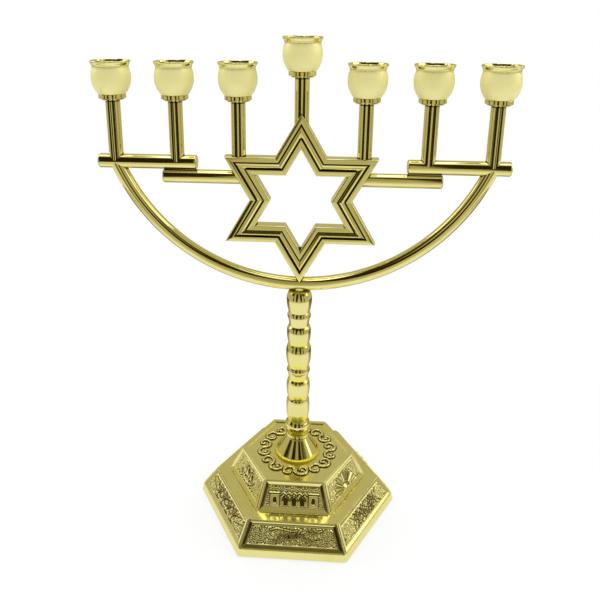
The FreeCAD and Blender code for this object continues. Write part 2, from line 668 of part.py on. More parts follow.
def lower_crossbar(modeller: Modeller, side: str) -> None:
    """A bar from the hexagram's flank out under the upper crossbar, with the web between them."""
    body = crossbar(modeller, f"lower_crossbar_{side}", LOWER_BAR, "lower_bar_radius", "candle_pitch / 2",
                    LOWER_BAR_END, turned=side == "left")
    outer_half = modeller.size(f"{LOWER_BAR_END} / 2")
    modeller.fillet(body, lambda edge: edge.Closed and edge.BoundBox.XMin > outer_half, "bar_end_round",
                    f"LowerBarEnd_{side}")
    web = modeller.sketch(body, "XZ_Plane", f"web_{side}")
    inner, outer = f"({UPPER_BAR_START} + web_inset)", f"({LOWER_BAR_END} - web_inset)"
    modeller.outline(web, [(inner, "0"), (outer, "0"), (outer, LOWER_BAR_DROP), (inner, LOWER_BAR_DROP)])
    modeller.pad(body, web, "web_thickness", both_ways=True, name=f"Web_{side}")
    bed = modeller.sketch(body, "YZ_Plane", f"web_bed_{side}")
    modeller.circle(bed, "upper_bar_radius", y=LOWER_BAR_DROP)
    modeller.pocket(body, bed, f"2 * ({LOWER_BAR_END} + cut_overrun)", both_ways=True, name=f"WebBed_{side}")
    butt = modeller.sketch(body, "XZ_Plane", f"butt_{side}")
    reach = "(2 * lower_bar_radius)"
    modeller.outline(butt, [("-candle_pitch", f"-{reach}"), (star_flank(f"-{reach}"), f"-{reach}"),
                            (star_flank(reach), reach), ("-candle_pitch", reach)])
    modeller.pocket(body, butt, f"2 * {reach}", both_ways=True, name=f"Butt_{side}")


def star_flank(rise: str) -> str:
    """Reach of the hexagram's side edge at a height above the lower crossbar."""
    return f"(({LOWER_BAR} - {STAR_FOOT} + {rise}) * tan(30))"


def stem(modeller: Modeller, label: str, x: str, foot: str, seat: str):
    """A reeded round bar from foot to seat with a stud on top for its cup."""
    body = modeller.body(label, x=x, z=f"{COLUMN_TOP} + {foot}")
    length = f"({seat} - {foot})"
    section = modeller.sketch(body, "XY_Plane", f"{label}_section")
    modeller.circle(section, "stem_radius")
    modeller.pad(body, section, length)
    flutes = modeller.sketch(body, "XY_Plane", f"{label}_flutes")
    depth = "sqrt(stem_radius^2 - flute_offset^2)"
    for across in ("flute_offset", "-flute_offset"):
        for away in (depth, f"-{depth}"):
            modeller.circle(flutes, "flute_radius", across, away)
    modeller.pocket(body, flutes, length, upward=True, name="Flutes")
    stud = modeller.sketch(body, "XY_Plane", f"{label}_stud", lift=length)
    modeller.circle(stud, "stud_radius")
    modeller.pad(body, stud, "stud_length", name="Stud")
    return body


def crossbar_stem(modeller: Modeller, label: str, x: str) -> None:
    """An outer stem, saddled over the upper crossbar."""
    body = stem(modeller, label, x, UPPER_BAR, SIDE_SEAT)
    saddle = modeller.sketch(body, "YZ_Plane", f"{label}_saddle")
    modeller.circle(saddle, "upper_bar_radius")
    modeller.pocket(body, saddle, "2 * (stem_radius + cut_overrun)", both_ways=True, name="Saddle")


def centre_stem(modeller: Modeller, label: str) -> None:
    """The middle stem, forked so that it straddles the hexagram's top point."""
    fork_drop = "(stem_radius * tan(60))"
    body = stem(modeller, label, "0", f"({STAR_APEX} - {fork_drop})", CENTRE_SEAT)
    fork = modeller.sketch(body, "XZ_Plane", f"{label}_fork")
    modeller.outline(fork, [("0", fork_drop), ("-2 * stem_radius", f"-{fork_drop}"),
                            ("2 * stem_radius", f"-{fork_drop}")])
    modeller.pocket(body, fork, "2 * (stem_radius + cut_overrun)", both_ways=True, name="Fork")


def candle_cup(modeller: Modeller, label: str, x: str, seat: str) -> None:
    """A tulip-shaped cup with a scalloped rim, a candle socket and a stud bore."""
    body = modeller.body(label, x=x, z=f"{COLUMN_TOP} + {seat}")
    bore = "stud_radius + running_clearance"
    collar_top = "cup_lip_height + cup_collar_height"
    profile = modeller.sketch(body, "XZ_Plane", f"{label}_profile")
    modeller.outline(profile, [
        (bore, "0"), ("cup_lip_radius", "0"), ("cup_lip_radius", "cup_lip_height"),
        ("cup_collar_radius", "cup_lip_height"), ("cup_collar_radius", collar_top),
        ("cup_waist_radius", f"{collar_top} + cup_waist_rise", "cup_belly_level"),
        ("cup_belly_radius", "cup_belly_level", "cup_belly_level"),
        ("cup_neck_radius", "cup_neck_level", "cup_neck_level"),
        ("cup_rim_radius", "cup_height"), ("cup_rim_radius - cup_rim_wall", "cup_height"),
        ("socket_radius", "cup_throat_level"), ("socket_radius", "socket_floor"),
        ("0", "socket_floor"), ("0", "stud_bore_depth"), (bore, "stud_bore_depth")])
    modeller.revolve(body, profile)
    scallop = modeller.sketch(body, "XZ_Plane", f"{label}_scallop")
    modeller.circle(scallop, "scallop_radius", y="cup_height + scallop_radius - scallop_depth")
    notch = modeller.pocket(body, scallop, "cup_rim_radius + cut_overrun", name="Scallop")
    modeller.turn_pattern(body, [notch], "Z_Axis", SCALLOP_COUNT, name="Scallops")


def branch_head(modeller: Modeller) -> None:
    """Bow, hexagram, crossbars, stems and cups."""
    bow_body = bow(modeller)
    modeller.coped("star_frame", star_blank(modeller), bow_body)
    for side in ("left", "right"):
        upper_crossbar(modeller, side)
        lower_crossbar(modeller, side)
    centre = BRANCH_COUNT // 2
    for branch in range(BRANCH_COUNT):
        label = f"candle_stem_{branch + 1}"
        x = f"{branch - centre} * candle_pitch"
        if branch == centre:
            centre_stem(modeller, label)
        elif abs(branch - centre) == 1:
            stem(modeller, label, x, STAR_TOP_EDGE, SIDE_SEAT)
        else:
            crossbar_stem(modeller, label, x)
        seat = CENTRE_SEAT if branch == centre else SIDE_SEAT
        candle_cup(modeller, f"candle_cup_{branch + 1}", x, seat)


def check(document, pieces) -> None:
    """Stop if any object failed or any piece is not one valid solid."""
    failed = [item.Name for item in document.Objects if {"Invalid", "Error"} & set(item.State)]
    if failed:
        raise RuntimeError(f"failed objects: {failed}")
    for piece in pieces:
        shape = piece.Shape
        if shape.isNull() or not shape.isValid() or len(shape.Solids) != 1:
            raise RuntimeError(f"{piece.Label} is not one valid solid")


def main() -> None:
    """Build every piece, check it and write it to its STEP file."""
    document = FreeCAD.newDocument("Menorah")
    modeller = Modeller(document)
    base_casting(modeller)
    felt_pad(modeller)
    tie_rod(modeller)
    column(modeller)
    branch_head(modeller)
    document.recompute()
    check(document, modeller.pieces)
    os.makedirs(PARTS_FOLDER, exist_ok=True)
    for piece in modeller.pieces:
        piece.Shape.exportStep(os.path.join(PARTS_FOLDER, f"{piece.Label}.step"))
        print(f"{piece.Label}: {piece.Shape.Volume / 1000:.2f} cm3")


if __name__ == "__main__":
    main()
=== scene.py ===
"""Seven-branched menorah: finishes, cups, relief panels and studio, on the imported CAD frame."""

import json
import logging
import math
from dataclasses import dataclass, replace
from enum import Enum
from typing import Iterable

import bmesh
import bpy
import numpy as np
from mathutils import Matrix, Vector

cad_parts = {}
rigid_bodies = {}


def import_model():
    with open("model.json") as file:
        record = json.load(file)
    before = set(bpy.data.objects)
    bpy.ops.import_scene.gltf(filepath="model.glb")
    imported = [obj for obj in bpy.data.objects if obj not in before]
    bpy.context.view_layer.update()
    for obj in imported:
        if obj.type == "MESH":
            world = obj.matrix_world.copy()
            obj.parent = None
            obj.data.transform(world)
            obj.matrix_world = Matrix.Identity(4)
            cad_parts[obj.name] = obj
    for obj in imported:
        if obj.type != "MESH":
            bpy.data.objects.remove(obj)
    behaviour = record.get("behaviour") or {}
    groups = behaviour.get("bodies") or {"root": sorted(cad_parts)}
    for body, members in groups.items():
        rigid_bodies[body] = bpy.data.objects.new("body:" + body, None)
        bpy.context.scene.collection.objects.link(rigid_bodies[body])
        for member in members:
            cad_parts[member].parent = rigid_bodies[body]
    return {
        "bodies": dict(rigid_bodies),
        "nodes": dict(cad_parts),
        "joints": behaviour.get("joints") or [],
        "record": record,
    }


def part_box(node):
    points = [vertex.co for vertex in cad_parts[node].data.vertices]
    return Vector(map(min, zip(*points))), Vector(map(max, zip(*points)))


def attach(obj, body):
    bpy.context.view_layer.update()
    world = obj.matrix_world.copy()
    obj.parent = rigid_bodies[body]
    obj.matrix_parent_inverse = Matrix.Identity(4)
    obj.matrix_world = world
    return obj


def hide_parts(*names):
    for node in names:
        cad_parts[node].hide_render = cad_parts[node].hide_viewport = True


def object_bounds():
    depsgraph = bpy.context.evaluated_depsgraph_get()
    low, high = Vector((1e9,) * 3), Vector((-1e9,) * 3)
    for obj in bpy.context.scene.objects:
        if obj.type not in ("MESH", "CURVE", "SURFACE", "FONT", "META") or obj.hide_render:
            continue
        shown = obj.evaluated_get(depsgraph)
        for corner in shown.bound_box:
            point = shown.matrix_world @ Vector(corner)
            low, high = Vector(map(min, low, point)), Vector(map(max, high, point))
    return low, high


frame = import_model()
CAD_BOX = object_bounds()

LOG = logging.getLogger("menorah")
MM = 0.001
SHADE = "shade"
HEX_SIDES = 6
CUP_NUMBERS = range(1, 8)
Colour = tuple[float, float, float]
Point = tuple[float, float]
Socket = bpy.types.NodeSocket
Material = bpy.types.Material
Mesh = bmesh.types.BMesh
Field = np.ndarray


class Slot(Enum):
    """Material slots of the record."""

    BRIGHT_GOLD = "bright_gold"
    BASE_GOLD = "base_gold"


# Figures carved on the twelve panels, in order round each tier from the front.
Emblem = Enum("Emblem", "gate sun sheaf scales breastplate ship deer olive lion tents grapes flowers")


# ---- shader nodes


class NodeSketch:
    """A node tree under construction, with one short call per node."""

    def __init__(self, tree: bpy.types.NodeTree) -> None:
        """Empty the tree of a material or of the world."""
        self.tree = tree
        tree.nodes.clear()

    def add(self, kind: str, settings: dict | None = None, **inputs) -> bpy.types.Node:
        """Add a node, set its options, and feed its inputs.

        Args:
            kind: Blender's type name of the node, without the leading ShaderNode.
            settings: options of the node.
            inputs: a constant or an output socket for each input, by its name in lower case.

        Returns:
            The new node.
        """
        node = self.tree.nodes.new(f"ShaderNode{kind}")
        for name, choice in (settings or {}).items():
            setattr(node, name, choice)
        for name, feed in inputs.items():
            socket = self.socket(node, name)
            if isinstance(feed, Socket):
                self.tree.links.new(feed, socket)
            else:
                socket.default_value = feed
        return node

    def socket(self, node: bpy.types.Node, name: str) -> Socket:
        """Find an input by its name in lower case with underscores, or by in_ and its number."""
        if name.startswith("in_"):
            return node.inputs[int(name[3:])]
        return next(item for item in node.inputs
                    if item.name.lower().replace(" ", "_") == name and item.enabled)

    def math(self, operation: str, first, second=0.0) -> Socket:
        """Output of one arithmetic node."""
        return self.add("Math", {"operation": operation}, in_0=first, in_1=second).outputs[0]

    def ease(self, value: Socket, low: float, high: float, start: float = 0.0,
             finish: float = 1.0) -> Socket:
        """Smooth change from start to finish while value runs from low to high."""
        return self.add("MapRange", {"interpolation_type": "SMOOTHSTEP"}, in_0=value, in_1=low, in_2=high,
                        in_3=start, in_4=finish).outputs[0]

    def noise(self, place: Socket, per_metre: float, detail: float = 3.0) -> Socket:
        """Grey output of a noise texture with the given number of lumps per metre."""
        return self.add("TexNoise", vector=place, scale=per_metre, detail=detail).outputs["Fac"]

    def between(self, amount: Socket, first, second) -> Socket:
        """Number between two numbers."""
        return self.add("Mix", {"data_type": "FLOAT"}, in_0=amount, in_2=first, in_3=second).outputs[0]

    def blend(self, amount: Socket, first, second) -> Socket:
        """Colour between two colours."""
        first, second = ((*tone, 1.0) if isinstance(tone, tuple) else tone for tone in (first, second))
        return self.add("Mix", {"data_type": "RGBA"}, in_0=amount, in_6=first, in_7=second).outputs[2]

    def toned(self, strength: Socket) -> Socket:
        """Colour of the given strength that turns from white to brown as it darkens."""
        red = self.math("POWER", strength, 0.91)
        blue = self.math("POWER", strength, 1.52)
        return self.add("CombineColor", red=red, green=strength, blue=blue).outputs[0]


@dataclass(frozen=True)
class Finish:
    """A procedural finish.  Lengths are in metres, and counts are lumps per metre."""

    name: str

    def inputs(self, sketch: NodeSketch, place: Socket) -> dict:
        """Inputs of the surface shader.

        Args:
            sketch: node tree of the material.
            place: where on the piece the shaded point lies.

        Returns:
            A constant or an output socket for each input, by its name.
        """
        raise NotImplementedError

    def material(self) -> Material:
        """Build the node material of this finish."""
        skin = bpy.data.materials.new(self.name)
        skin.use_nodes = True
        sketch = NodeSketch(skin.node_tree)
        place = sketch.add("TexCoord").outputs["Object"]
        surface = sketch.add("BsdfPrincipled", **self.inputs(sketch, place))
        sketch.add("OutputMaterial", surface=surface.outputs[0])
        return skin


@dataclass(frozen=True)
class GoldPlate(Finish):
    """Light yellow gold plating with a cast or polished skin.

    Where the recess share is set, recesses are painted in the recess colour: painted shade where it
    is dark, and painted reflection between facing surfaces where it is bright yellow.  They take it in
    full where less than the first share of recess_open is open round a point, and not at all from the
    second.  Where shade_share is set, so do the places that a mesh marks with painted shade.  Below
    band_top the plating is rougher and grainy, and painted a deeper yellow as painted reflection.  Each
    of the rings is a pair of levels with painted reflection, a deep yellow, between them, where two beads
    meet.
    """

    roughness: float
    haze: float = 0.05
    colour: Colour = (0.84, 0.775, 0.335)
    warm: Colour = (0.81, 0.735, 0.285)
    # Colour painted into recesses: painted shade when dark, painted reflection when bright yellow.
    recess: Colour = (0.20, 0.15, 0.02)
    recess_reach: float = 0.0012
    recess_share: float = 0.0
    recess_open: Point = (0.25, 0.95)
    recess_roughness: float = 0.0
    shade_share: float = 0.0
    band_top: float = 0.0
    band_fade: float = 0.0002
    # Deeper yellow painted below band_top as painted reflection.
    band: Colour = (0.86, 0.75, 0.09)
    band_roughness: float = 0.2
    band_grain: float = 0.0003
    # Bands where beads meet, painted a saturated yellow as painted reflection.
    rings: tuple[Point, ...] = ()
    ring_fade: float = 0.0007
    ring: Colour = (0.90, 0.80, 0.12)
    ring_roughness: float = 0.25
    tone_count: float = 54.0
    smudge_count: float = 225.0
    wave_count: float = 90.0
    wave_height: float = 0.00002
    grain_count: float = 1600.0
    grain_height: float = 0.0000015

    def inputs(self, sketch: NodeSketch, place: Socket) -> dict:
        """Inputs of the surface shader."""
        tone = sketch.ease(sketch.noise(place, self.tone_count), 0.35, 0.7)
        paint = sketch.blend(tone, self.colour, self.warm)
        smudge = sketch.noise(place, self.smudge_count, 5.0)
        rough = sketch.ease(smudge, 0.3, 0.75, self.roughness, self.roughness + self.haze)
        level = sketch.add("SeparateXYZ", vector=place).outputs["Z"]
        grain_height = self.grain_height
        patches = []
        # The recess colour is painted into hollows by how open each point is: painted shade when it is dark,
        # painted reflection when it is bright yellow.
        if self.recess_share:
            hollow = sketch.add("AmbientOcclusion", {"samples": 16}, distance=self.recess_reach)
            depth = sketch.ease(hollow.outputs["AO"], *self.recess_open, self.recess_share, 0.0)
            patches.append((depth, self.recess, self.recess_roughness))
        # Painted shade where the mesh's shade attribute marks it.
        if self.shade_share:
            shade = sketch.add("Attribute", {"attribute_name": SHADE}).outputs["Fac"]
            patches.append((sketch.math("MULTIPLY", shade, self.shade_share), self.recess, 0.0))
        # Below band_top: rougher, grainy plating, and a deeper yellow painted as painted reflection.
        if self.band_top:
            low = sketch.ease(level, self.band_top - self.band_fade, self.band_top, 1.0, 0.0)
            patches.append((low, self.band, self.band_roughness))
            rise = sketch.math("MULTIPLY", low, self.band_grain)
            grain_height = sketch.math("MAXIMUM", rise, grain_height)
        # Painted reflection: a saturated yellow band between each pair of levels, where two beads meet.
        for foot, top in self.rings:
            above = sketch.ease(level, foot - self.ring_fade, foot + self.ring_fade)
            below = sketch.ease(level, top - self.ring_fade, top + self.ring_fade, 1.0, 0.0)
            patches.append((sketch.math("MULTIPLY", above, below), self.ring, self.ring_roughness))
        for share, colour, least in patches:
            paint = sketch.blend(share, paint, colour)
            rough = sketch.math("MAXIMUM", rough, sketch.math("MULTIPLY", share, least))
        waves = sketch.add("Bump", distance=self.wave_height,
                           height=sketch.noise(place, self.wave_count, 1.0))
        grain = sketch.add("Bump", distance=grain_height, height=sketch.noise(place, self.grain_count, 2.0),
                           normal=waves.outputs[0])
        return {"base_color": paint, "metallic": 1.0, "roughness": rough, "normal": grain.outputs[0]}


@dataclass(frozen=True)
class SatinCup(Finish):
    """Plating of a cup: polished, with a pale satin body where the mesh is shaded."""

    polished: Colour = (0.84, 0.775, 0.335)
    satin: Colour = (0.86, 0.80, 0.35)
    smudged: Colour = (0.80, 0.74, 0.30)
    polished_roughness: float = 0.07
    satin_roughness: float = 0.42
    satin_metal: float = 0.22
    smudge_count: float = 60.0
    grain_count: float = 1400.0
    grain_height: float = 0.000001

    def inputs(self, sketch: NodeSketch, place: Socket) -> dict:
        """Inputs of the surface shader."""
        satin = sketch.add("Attribute", {"attribute_name": SHADE}).outputs["Fac"]
        smudge = sketch.ease(sketch.noise(place, self.smudge_count, 4.0), 0.45, 0.75)
        body = sketch.blend(smudge, self.satin, self.smudged)
        grain = sketch.add("Bump", distance=self.grain_height,
                           height=sketch.noise(place, self.grain_count, 2.0))
        return {"base_color": sketch.blend(satin, self.polished, body),
                "metallic": sketch.ease(satin, 0.3, 1.0, 1.0, self.satin_metal),
                "roughness": sketch.ease(satin, 0.0, 1.0, self.polished_roughness, self.satin_roughness),
                "normal": grain.outputs[0]}


@dataclass(frozen=True)
class Felt(Finish):
    """Dark pressed felt."""

    colour: Colour = (0.012, 0.012, 0.014)
    lint: Colour = (0.045, 0.045, 0.05)
    sheen: float = 0.4
    fibre_count: float = 2600.0
    fibre_height: float = 0.00012

    def inputs(self, sketch: NodeSketch, place: Socket) -> dict:
        """Inputs of the surface shader."""
        fibre = sketch.noise(place, self.fibre_count, 6.0)
        bump = sketch.add("Bump", distance=self.fibre_height, height=fibre)
        return {"base_color": sketch.blend(sketch.ease(fibre, 0.45, 0.75), self.colour, self.lint),
                "roughness": sketch.ease(sketch.noise(place, self.fibre_count / 8), 0.3, 0.7, 0.85, 1.0),
                "normal": bump.outputs[0], "sheen_weight": self.sheen}


@dataclass(frozen=True)
class ZincSteel(Finish):
    """Drawn steel with a dull zinc coat."""

    colour: Colour = (0.56, 0.56, 0.54)
    dull: Colour = (0.40, 0.40, 0.39)
    draw_count: float = 900.0
    draw_stretch: float = 0.05
    draw_height: float = 0.00001

    def inputs(self, sketch: NodeSketch, place: Socket) -> dict:
        """Inputs of the surface shader."""
        along = sketch.add("Mapping", vector=place, scale=(1.0, 1.0, self.draw_stretch)).outputs[0]
        lines = sketch.noise(along, self.draw_count, 4.0)
        bump = sketch.add("Bump", distance=self.draw_height, height=lines)
        return {"base_color": sketch.blend(lines, self.colour, self.dull), "metallic": 1.0,
                "roughness": sketch.ease(lines, 0.3, 0.7, 0.28, 0.42), "normal": bump.outputs[0]}


# ---- making pieces


def placed(name: str, data: bpy.types.ID) -> bpy.types.Object:
    """New object of the scene around its data."""
    thing = bpy.data.objects.new(name, data)
    bpy.context.scene.collection.objects.link(thing)
    return thing


def finished(name: str, mesh: Mesh, shades: Iterable[float], skin: Material, body: str,
             crease: float) -> bpy.types.Object:
    """Turn a bmesh into a piece that rides on a body.

    Args:
        name: name of the new piece.
        mesh: its shape, in millimetres in the frame of the CAD.
        shades: how far each vertex takes the second tone of the material, from 0 to 1.
        skin: its material.
        body: the CAD body that it rides on.
        crease: edges sharper than this, in degrees, stay sharp.

    Returns:
        The new object.
    """
    tones = mesh.verts.layers.float.new(SHADE)
    for corner, shade in zip(mesh.verts, shades):
        corner[tones] = shade
    bmesh.ops.scale(mesh, vec=(MM, MM, MM), verts=mesh.verts)
    bmesh.ops.remove_doubles(mesh, verts=mesh.verts, dist=1e-7)
    bmesh.ops.recalc_face_normals(mesh, faces=mesh.faces)
    data = bpy.data.meshes.new(name)
    mesh.to_mesh(data)
    mesh.free()
    piece = placed(name, data)
    data.materials.append(skin)
    data.shade_smooth()
    data.set_sharp_from_angle(angle=math.radians(crease))
    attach(piece, body)
    LOG.info("%s: %d faces on %s", name, len(data.polygons), body)
    return piece


def dress(node: str, skin: Material) -> None:
    """Give a CAD node a finish in all its material slots."""
    piece = frame["nodes"][node]
    if not piece.material_slots:
        piece.data.materials.append(skin)
    for place in piece.material_slots:
        place.material = skin
    LOG.info("%s: dressed in %s", node, skin.name)


def polar(reach: float, turn: float, centre: Point = (0.0, 0.0)) -> Point:
    """Point at a distance from a centre, at an angle in radians."""
    return centre[0] + reach * math.cos(turn), centre[1] + reach * math.sin(turn)


def arc_points(start: Point, finish: Point, centre_level: float, steps: int) -> list[Point]:
    """Points along the short arc between two (radius, level) points.

    Args:
        start: first point.
        finish: last point, which is left out.
        centre_level: level of the arc's centre.
        steps: number of points.

    Returns:
        The points, from start up to just before finish.
    """
    squares = (finish[0] ** 2 + finish[1] ** 2 - start[0] ** 2 - start[1] ** 2) / 2
    across = (squares - centre_level * (finish[1] - start[1])) / (finish[0] - start[0])
    reach = math.hypot(start[0] - across, start[1] - centre_level)
    first = math.atan2(start[1] - centre_level, start[0] - across)
    last = math.atan2(finish[1] - centre_level, finish[0] - across)
    sweep = (last - first + math.pi) % math.tau - math.pi
    return [polar(reach, first + sweep * step / steps, (across, centre_level)) for step in range(steps)]


# ---- candle cups


@dataclass
class CandleCups:
    """The seven tulip cups with petalled rims.

    Sizes are in millimetres, and a point of the section is its radius and its level.  The satin finish
    covers the belly, fades out under the rim and returns in the mouth.
    """

    skin: Material
    foot: tuple[Point, ...] = ((0.0, 0.0), (5.6, 0.0), (7.05, 0.9), (7.2, 1.05), (7.2, 2.8), (7.1, 2.9))
    waist: Point = (7.0, 3.0)
    belly: Point = (10.35, 11.7)
    neck: Point = (9.4, 17.0)
    flare: Point = (10.38, 19.4)
    rim: Point = (10.5, 20.5)
    rim_round: float = 0.45
    hollow: tuple[Point, ...] = ((8.0, 17.9), (6.0, 16.9), (5.5, 16.3), (5.5, 6.3), (5.1, 6.0), (0.0, 6.0))
    notches: int = 8
    notch_depth: float = 0.28
    notch_pinch: float = 0.25
    notch_spread: float = 0.11
    notch_inner: float = 6.5
    segments: int = 192
    satin_inner: float = 6.8
    satin_start: float = 3.1
    satin_rise: float = 0.2
    satin_end: float = 16.2
    satin_fade: float = 2.6
    mouth: float = 9.3
    mouth_satin: float = 0.8

    def profile(self) -> list[Point]:
        """Half section from the underside round the rim to the middle of the socket's floor."""
        middle = (self.rim[0] - self.rim_round, self.rim[1] - self.rim_round)
        edge = [polar(self.rim_round, turn, middle) for turn in np.linspace(-0.3, math.pi, 8)]
        return [*self.foot, *arc_points(self.waist, self.belly, self.belly[1], 12),
                *arc_points(self.belly, self.neck, self.belly[1], 10),
                *arc_points(self.neck, self.flare, self.neck[1], 8), *edge, *self.hollow]

    def notch(self, mesh: Mesh) -> None:
        """Press the small V notches into the rim."""
        period = math.tau / self.notches
        for corner in mesh.verts:
            rise = (corner.co.z - self.neck[1]) / (self.rim[1] - self.neck[1])
            reach = math.hypot(corner.co.x, corner.co.y)
            if rise <= 0 or reach < self.notch_inner:
                continue
            turn = math.atan2(corner.co.y, corner.co.x) + math.pi / 2
            away = abs((turn + period / 2) % period - period / 2)
            valley = max(0.0, 1 - away / self.notch_spread) ** 1.3
            corner.co.z -= self.notch_depth * valley * rise ** 2
            corner.co.xy *= 1 - self.notch_pinch * valley * rise ** 1.5 / reach

    def satin(self, reach: float, level: float) -> float:
        """Share of the satin finish at a radius and a level."""
        if reach < self.satin_inner:
            return 0.0
        if level > self.satin_end and reach < self.mouth:
            return self.mouth_satin
        up = (level - self.satin_start) / self.satin_rise
        down = 1 - (level - self.satin_end) / self.satin_fade
        return min(1.0, max(0.0, min(up, down)))

    def build(self, number: int) -> None:
        """Turn one cup, notch its rim, and put it in place of its CAD node.

        Args:
            number: the cup's place in the row, from the left.
        """
        node = f"candle_cup_{number}"
        low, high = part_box(node)
        mesh = bmesh.new()
        chain = [mesh.verts.new((radius, 0.0, level)) for radius, level in self.profile()]
        edges = [mesh.edges.new(pair) for pair in zip(chain, chain[1:])]
        bmesh.ops.spin(mesh, geom=chain + edges, cent=(0, 0, 0), axis=(0, 0, 1), angle=math.tau,
                       steps=self.segments, use_merge=True)
        bmesh.ops.remove_doubles(mesh, verts=mesh.verts, dist=1e-4)
        self.notch(mesh)
        shares = [self.satin(corner.co.xy.length, corner.co.z) for corner in mesh.verts]
        centre = Vector(((low.x + high.x) / 2, (low.y + high.y) / 2, low.z)) / MM
        bmesh.ops.translate(mesh, vec=centre, verts=mesh.verts)
        cup = finished(f"cup_shell_{number}", mesh, shares, self.skin, f"cup_{number}", 40)
        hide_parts(node)


# ---- relief panels


class Carving:
    """Figures raised on a panel, as heights over its field.  Sizes are in millimetres."""

    OUTSIDE = -9.0
    STIPPLE = 0.30
    STIPPLE_TURNS = (0.3, 1.37, 2.41, 3.3)
    MOAT_START = 0.1
    MOAT_WIDTH = 0.5
    # Painted shade outline round each figure: its offset, width and core.
    OUTLINE = 0.2
    OUTLINE_WIDTH = 0.28
    OUTLINE_CORE = 1.4
    SINK_EDGE = 0.2
    DOOR_LEVEL = 0.05
    VEIN = 0.12
    VEIN_DEPTH = 0.18
    DEER_LENGTH = 1.45
    DEER_HEIGHT = 1.12
    DEER_SHADE = 0.75

    def __init__(self, across: Field, up: Field) -> None:
        """Start with a field of small round bumps.

        Args:
            across: sideways places of the panel's points, from the middle.
            up: their places up the slope, from the field's lower edge.
        """
        self.across, self.up = across, up
        bumps = np.zeros_like(across)
        for step, turn in enumerate(self.STIPPLE_TURNS):
            along, beside = self.turned(0.0, 0.0, math.degrees(turn))
            bumps += np.sin(along * (3.9 + 0.7 * step) + 1.7 * np.sin(beside * (1.3 + 0.4 * step) + step))
        self.level = self.STIPPLE * np.clip(0.35 + bumps / 2.2, 0, 1)
        self.shadow = np.zeros_like(across)
        self.figure = np.full_like(across, self.OUTSIDE)

    def lift(self, inside: Field, height: float, shoulder: float) -> None:
        """Raise a shape to a rounded top, with a moat and an outline of painted shade round it.

        Args:
            inside: depth of each point inside the shape.
            height: height of the shape's top.
            shoulder: width over which its edge rounds off.
        """
        swell = height * np.sin(np.clip(inside / shoulder, 0, 1) * math.pi / 2)
        kept = np.clip(-(inside + self.MOAT_START) / self.MOAT_WIDTH, 0, 1)
        self.level = np.maximum(swell, self.level * kept)
        # Painted shade: a dark outline round the figure.
        outline = np.clip(self.OUTLINE_CORE - np.abs(inside + self.OUTLINE) / self.OUTLINE_WIDTH, 0, 1)
        self.shadow = np.where(inside > self.OUTLINE, 0.0, np.maximum(self.shadow, outline))
        self.figure = np.maximum(self.figure, inside)

    def sink(self, inside: Field, level: float) -> None:
        """Lower a shape inside a figure to a level, as for a window, and paint it dark as painted shade."""
        share = np.clip(inside / self.SINK_EDGE, 0, 1)
        self.level = self.level * (1 - share) + level * share
        # Painted shade in the opening.
        self.shadow = np.maximum(self.shadow, share)

    def near_line(self, start: Point, finish: Point, first: float, last: float) -> Field:
        """Depth inside a tapered bar with round ends."""
        run = np.array(finish) - np.array(start)
        away_x, away_y = self.across - start[0], self.up - start[1]
        share = np.clip((away_x * run[0] + away_y * run[1]) / (run @ run), 0, 1)
        gap = np.hypot(away_x - share * run[0], away_y - share * run[1])
        return first + (last - first) * share - gap

    def stroke(self, spots: list[Point], height: float, first: float, last: float | None = None) -> None:
        """Raise a bent bar through several points, from one half width to another."""
        last = first if last is None else last
        halves = np.linspace(first, last, len(spots))
        bars = [self.near_line(*ends) for ends in zip(spots, spots[1:], halves, halves[1:])]
        self.lift(np.maximum.reduce(bars), height, max(first, last))

    def turned(self, x: float, y: float, turn: float) -> tuple[Field, Field]:
        """Places along and beside a line from (x, y) at an angle in degrees."""
        along, beside = polar(1.0, math.radians(turn))
        away_x, away_y = self.across - x, self.up - y
        return away_x * along + away_y * beside, away_y * along - away_x * beside

    def in_oval(self, x: float, y: float, wide: float, tall: float, turn: float = 0.0) -> Field:
        """Depth inside an oval turned by an angle in degrees."""
        along, beside = self.turned(x, y, turn)
        return (1 - np.hypot(along / wide, beside / tall)) * min(wide, tall)

    def oval(self, x: float, y: float, wide: float, tall: float, height: float, turn: float = 0.0) -> None:
        """Raise a domed oval."""
        self.lift(self.in_oval(x, y, wide, tall, turn), height, min(wide, tall))

    def in_block(self, low: Point, high: Point) -> Field:
        """Depth inside an upright rectangle."""
        return np.minimum.reduce([self.across - low[0], high[0] - self.across, self.up - low[1],
                                  high[1] - self.up])

    def block(self, low: Point, high: Point, height: float) -> None:
        """Raise a rectangle with crisp edges."""
        self.lift(self.in_block(low, high), height, 0.3)

    def arch(self, x: float, foot: float, wide: float, tall: float) -> None:
        """Sink an arched opening."""
        door = self.in_block((x - wide, foot), (x + wide, foot + tall - wide))
        self.sink(np.maximum(door, self.in_oval(x, foot + tall - wide, wide, wide)), self.DOOR_LEVEL)

    def leaves(self, x: float, y: float, length: float, turns: tuple[float, ...], wide: float) -> None:
        """Raise pointed leaves that grow from (x, y) at angles in degrees."""
        for turn in turns:
            along, beside = self.turned(x, y, turn)
            bulge = np.sin(np.clip(along / length, 0, 1) * math.pi) ** 0.8
            bulge[(along <= 0) | (along >= length)] = 0.0
            inside = wide * length * bulge - np.abs(beside) - 0.001
            self.lift(inside, 0.6, wide * length)
            self.level[(inside > 0) & (np.abs(beside) < self.VEIN)] -= self.VEIN_DEPTH

    def petals(self, x: float, y: float, reach: float, count: int, wide: float, tall: float,
               height: float) -> None:
        """Raise a ring of ovals that point away from (x, y)."""
        for step in range(count):
            turn = math.tau * step / count
            self.oval(*polar(reach, turn, (x, y)), wide, tall, height, math.degrees(turn))

    def ground(self, y: float, height: float = 0.45) -> None:
        """Raise an uneven strip of ground along the field's foot."""
        top = y + 0.35 * np.sin(self.across * 0.55) + 0.15 * np.sin(self.across * 1.9 + 1)
        self.lift(top - self.up, height, 0.6)

    # Figures of the upper tier

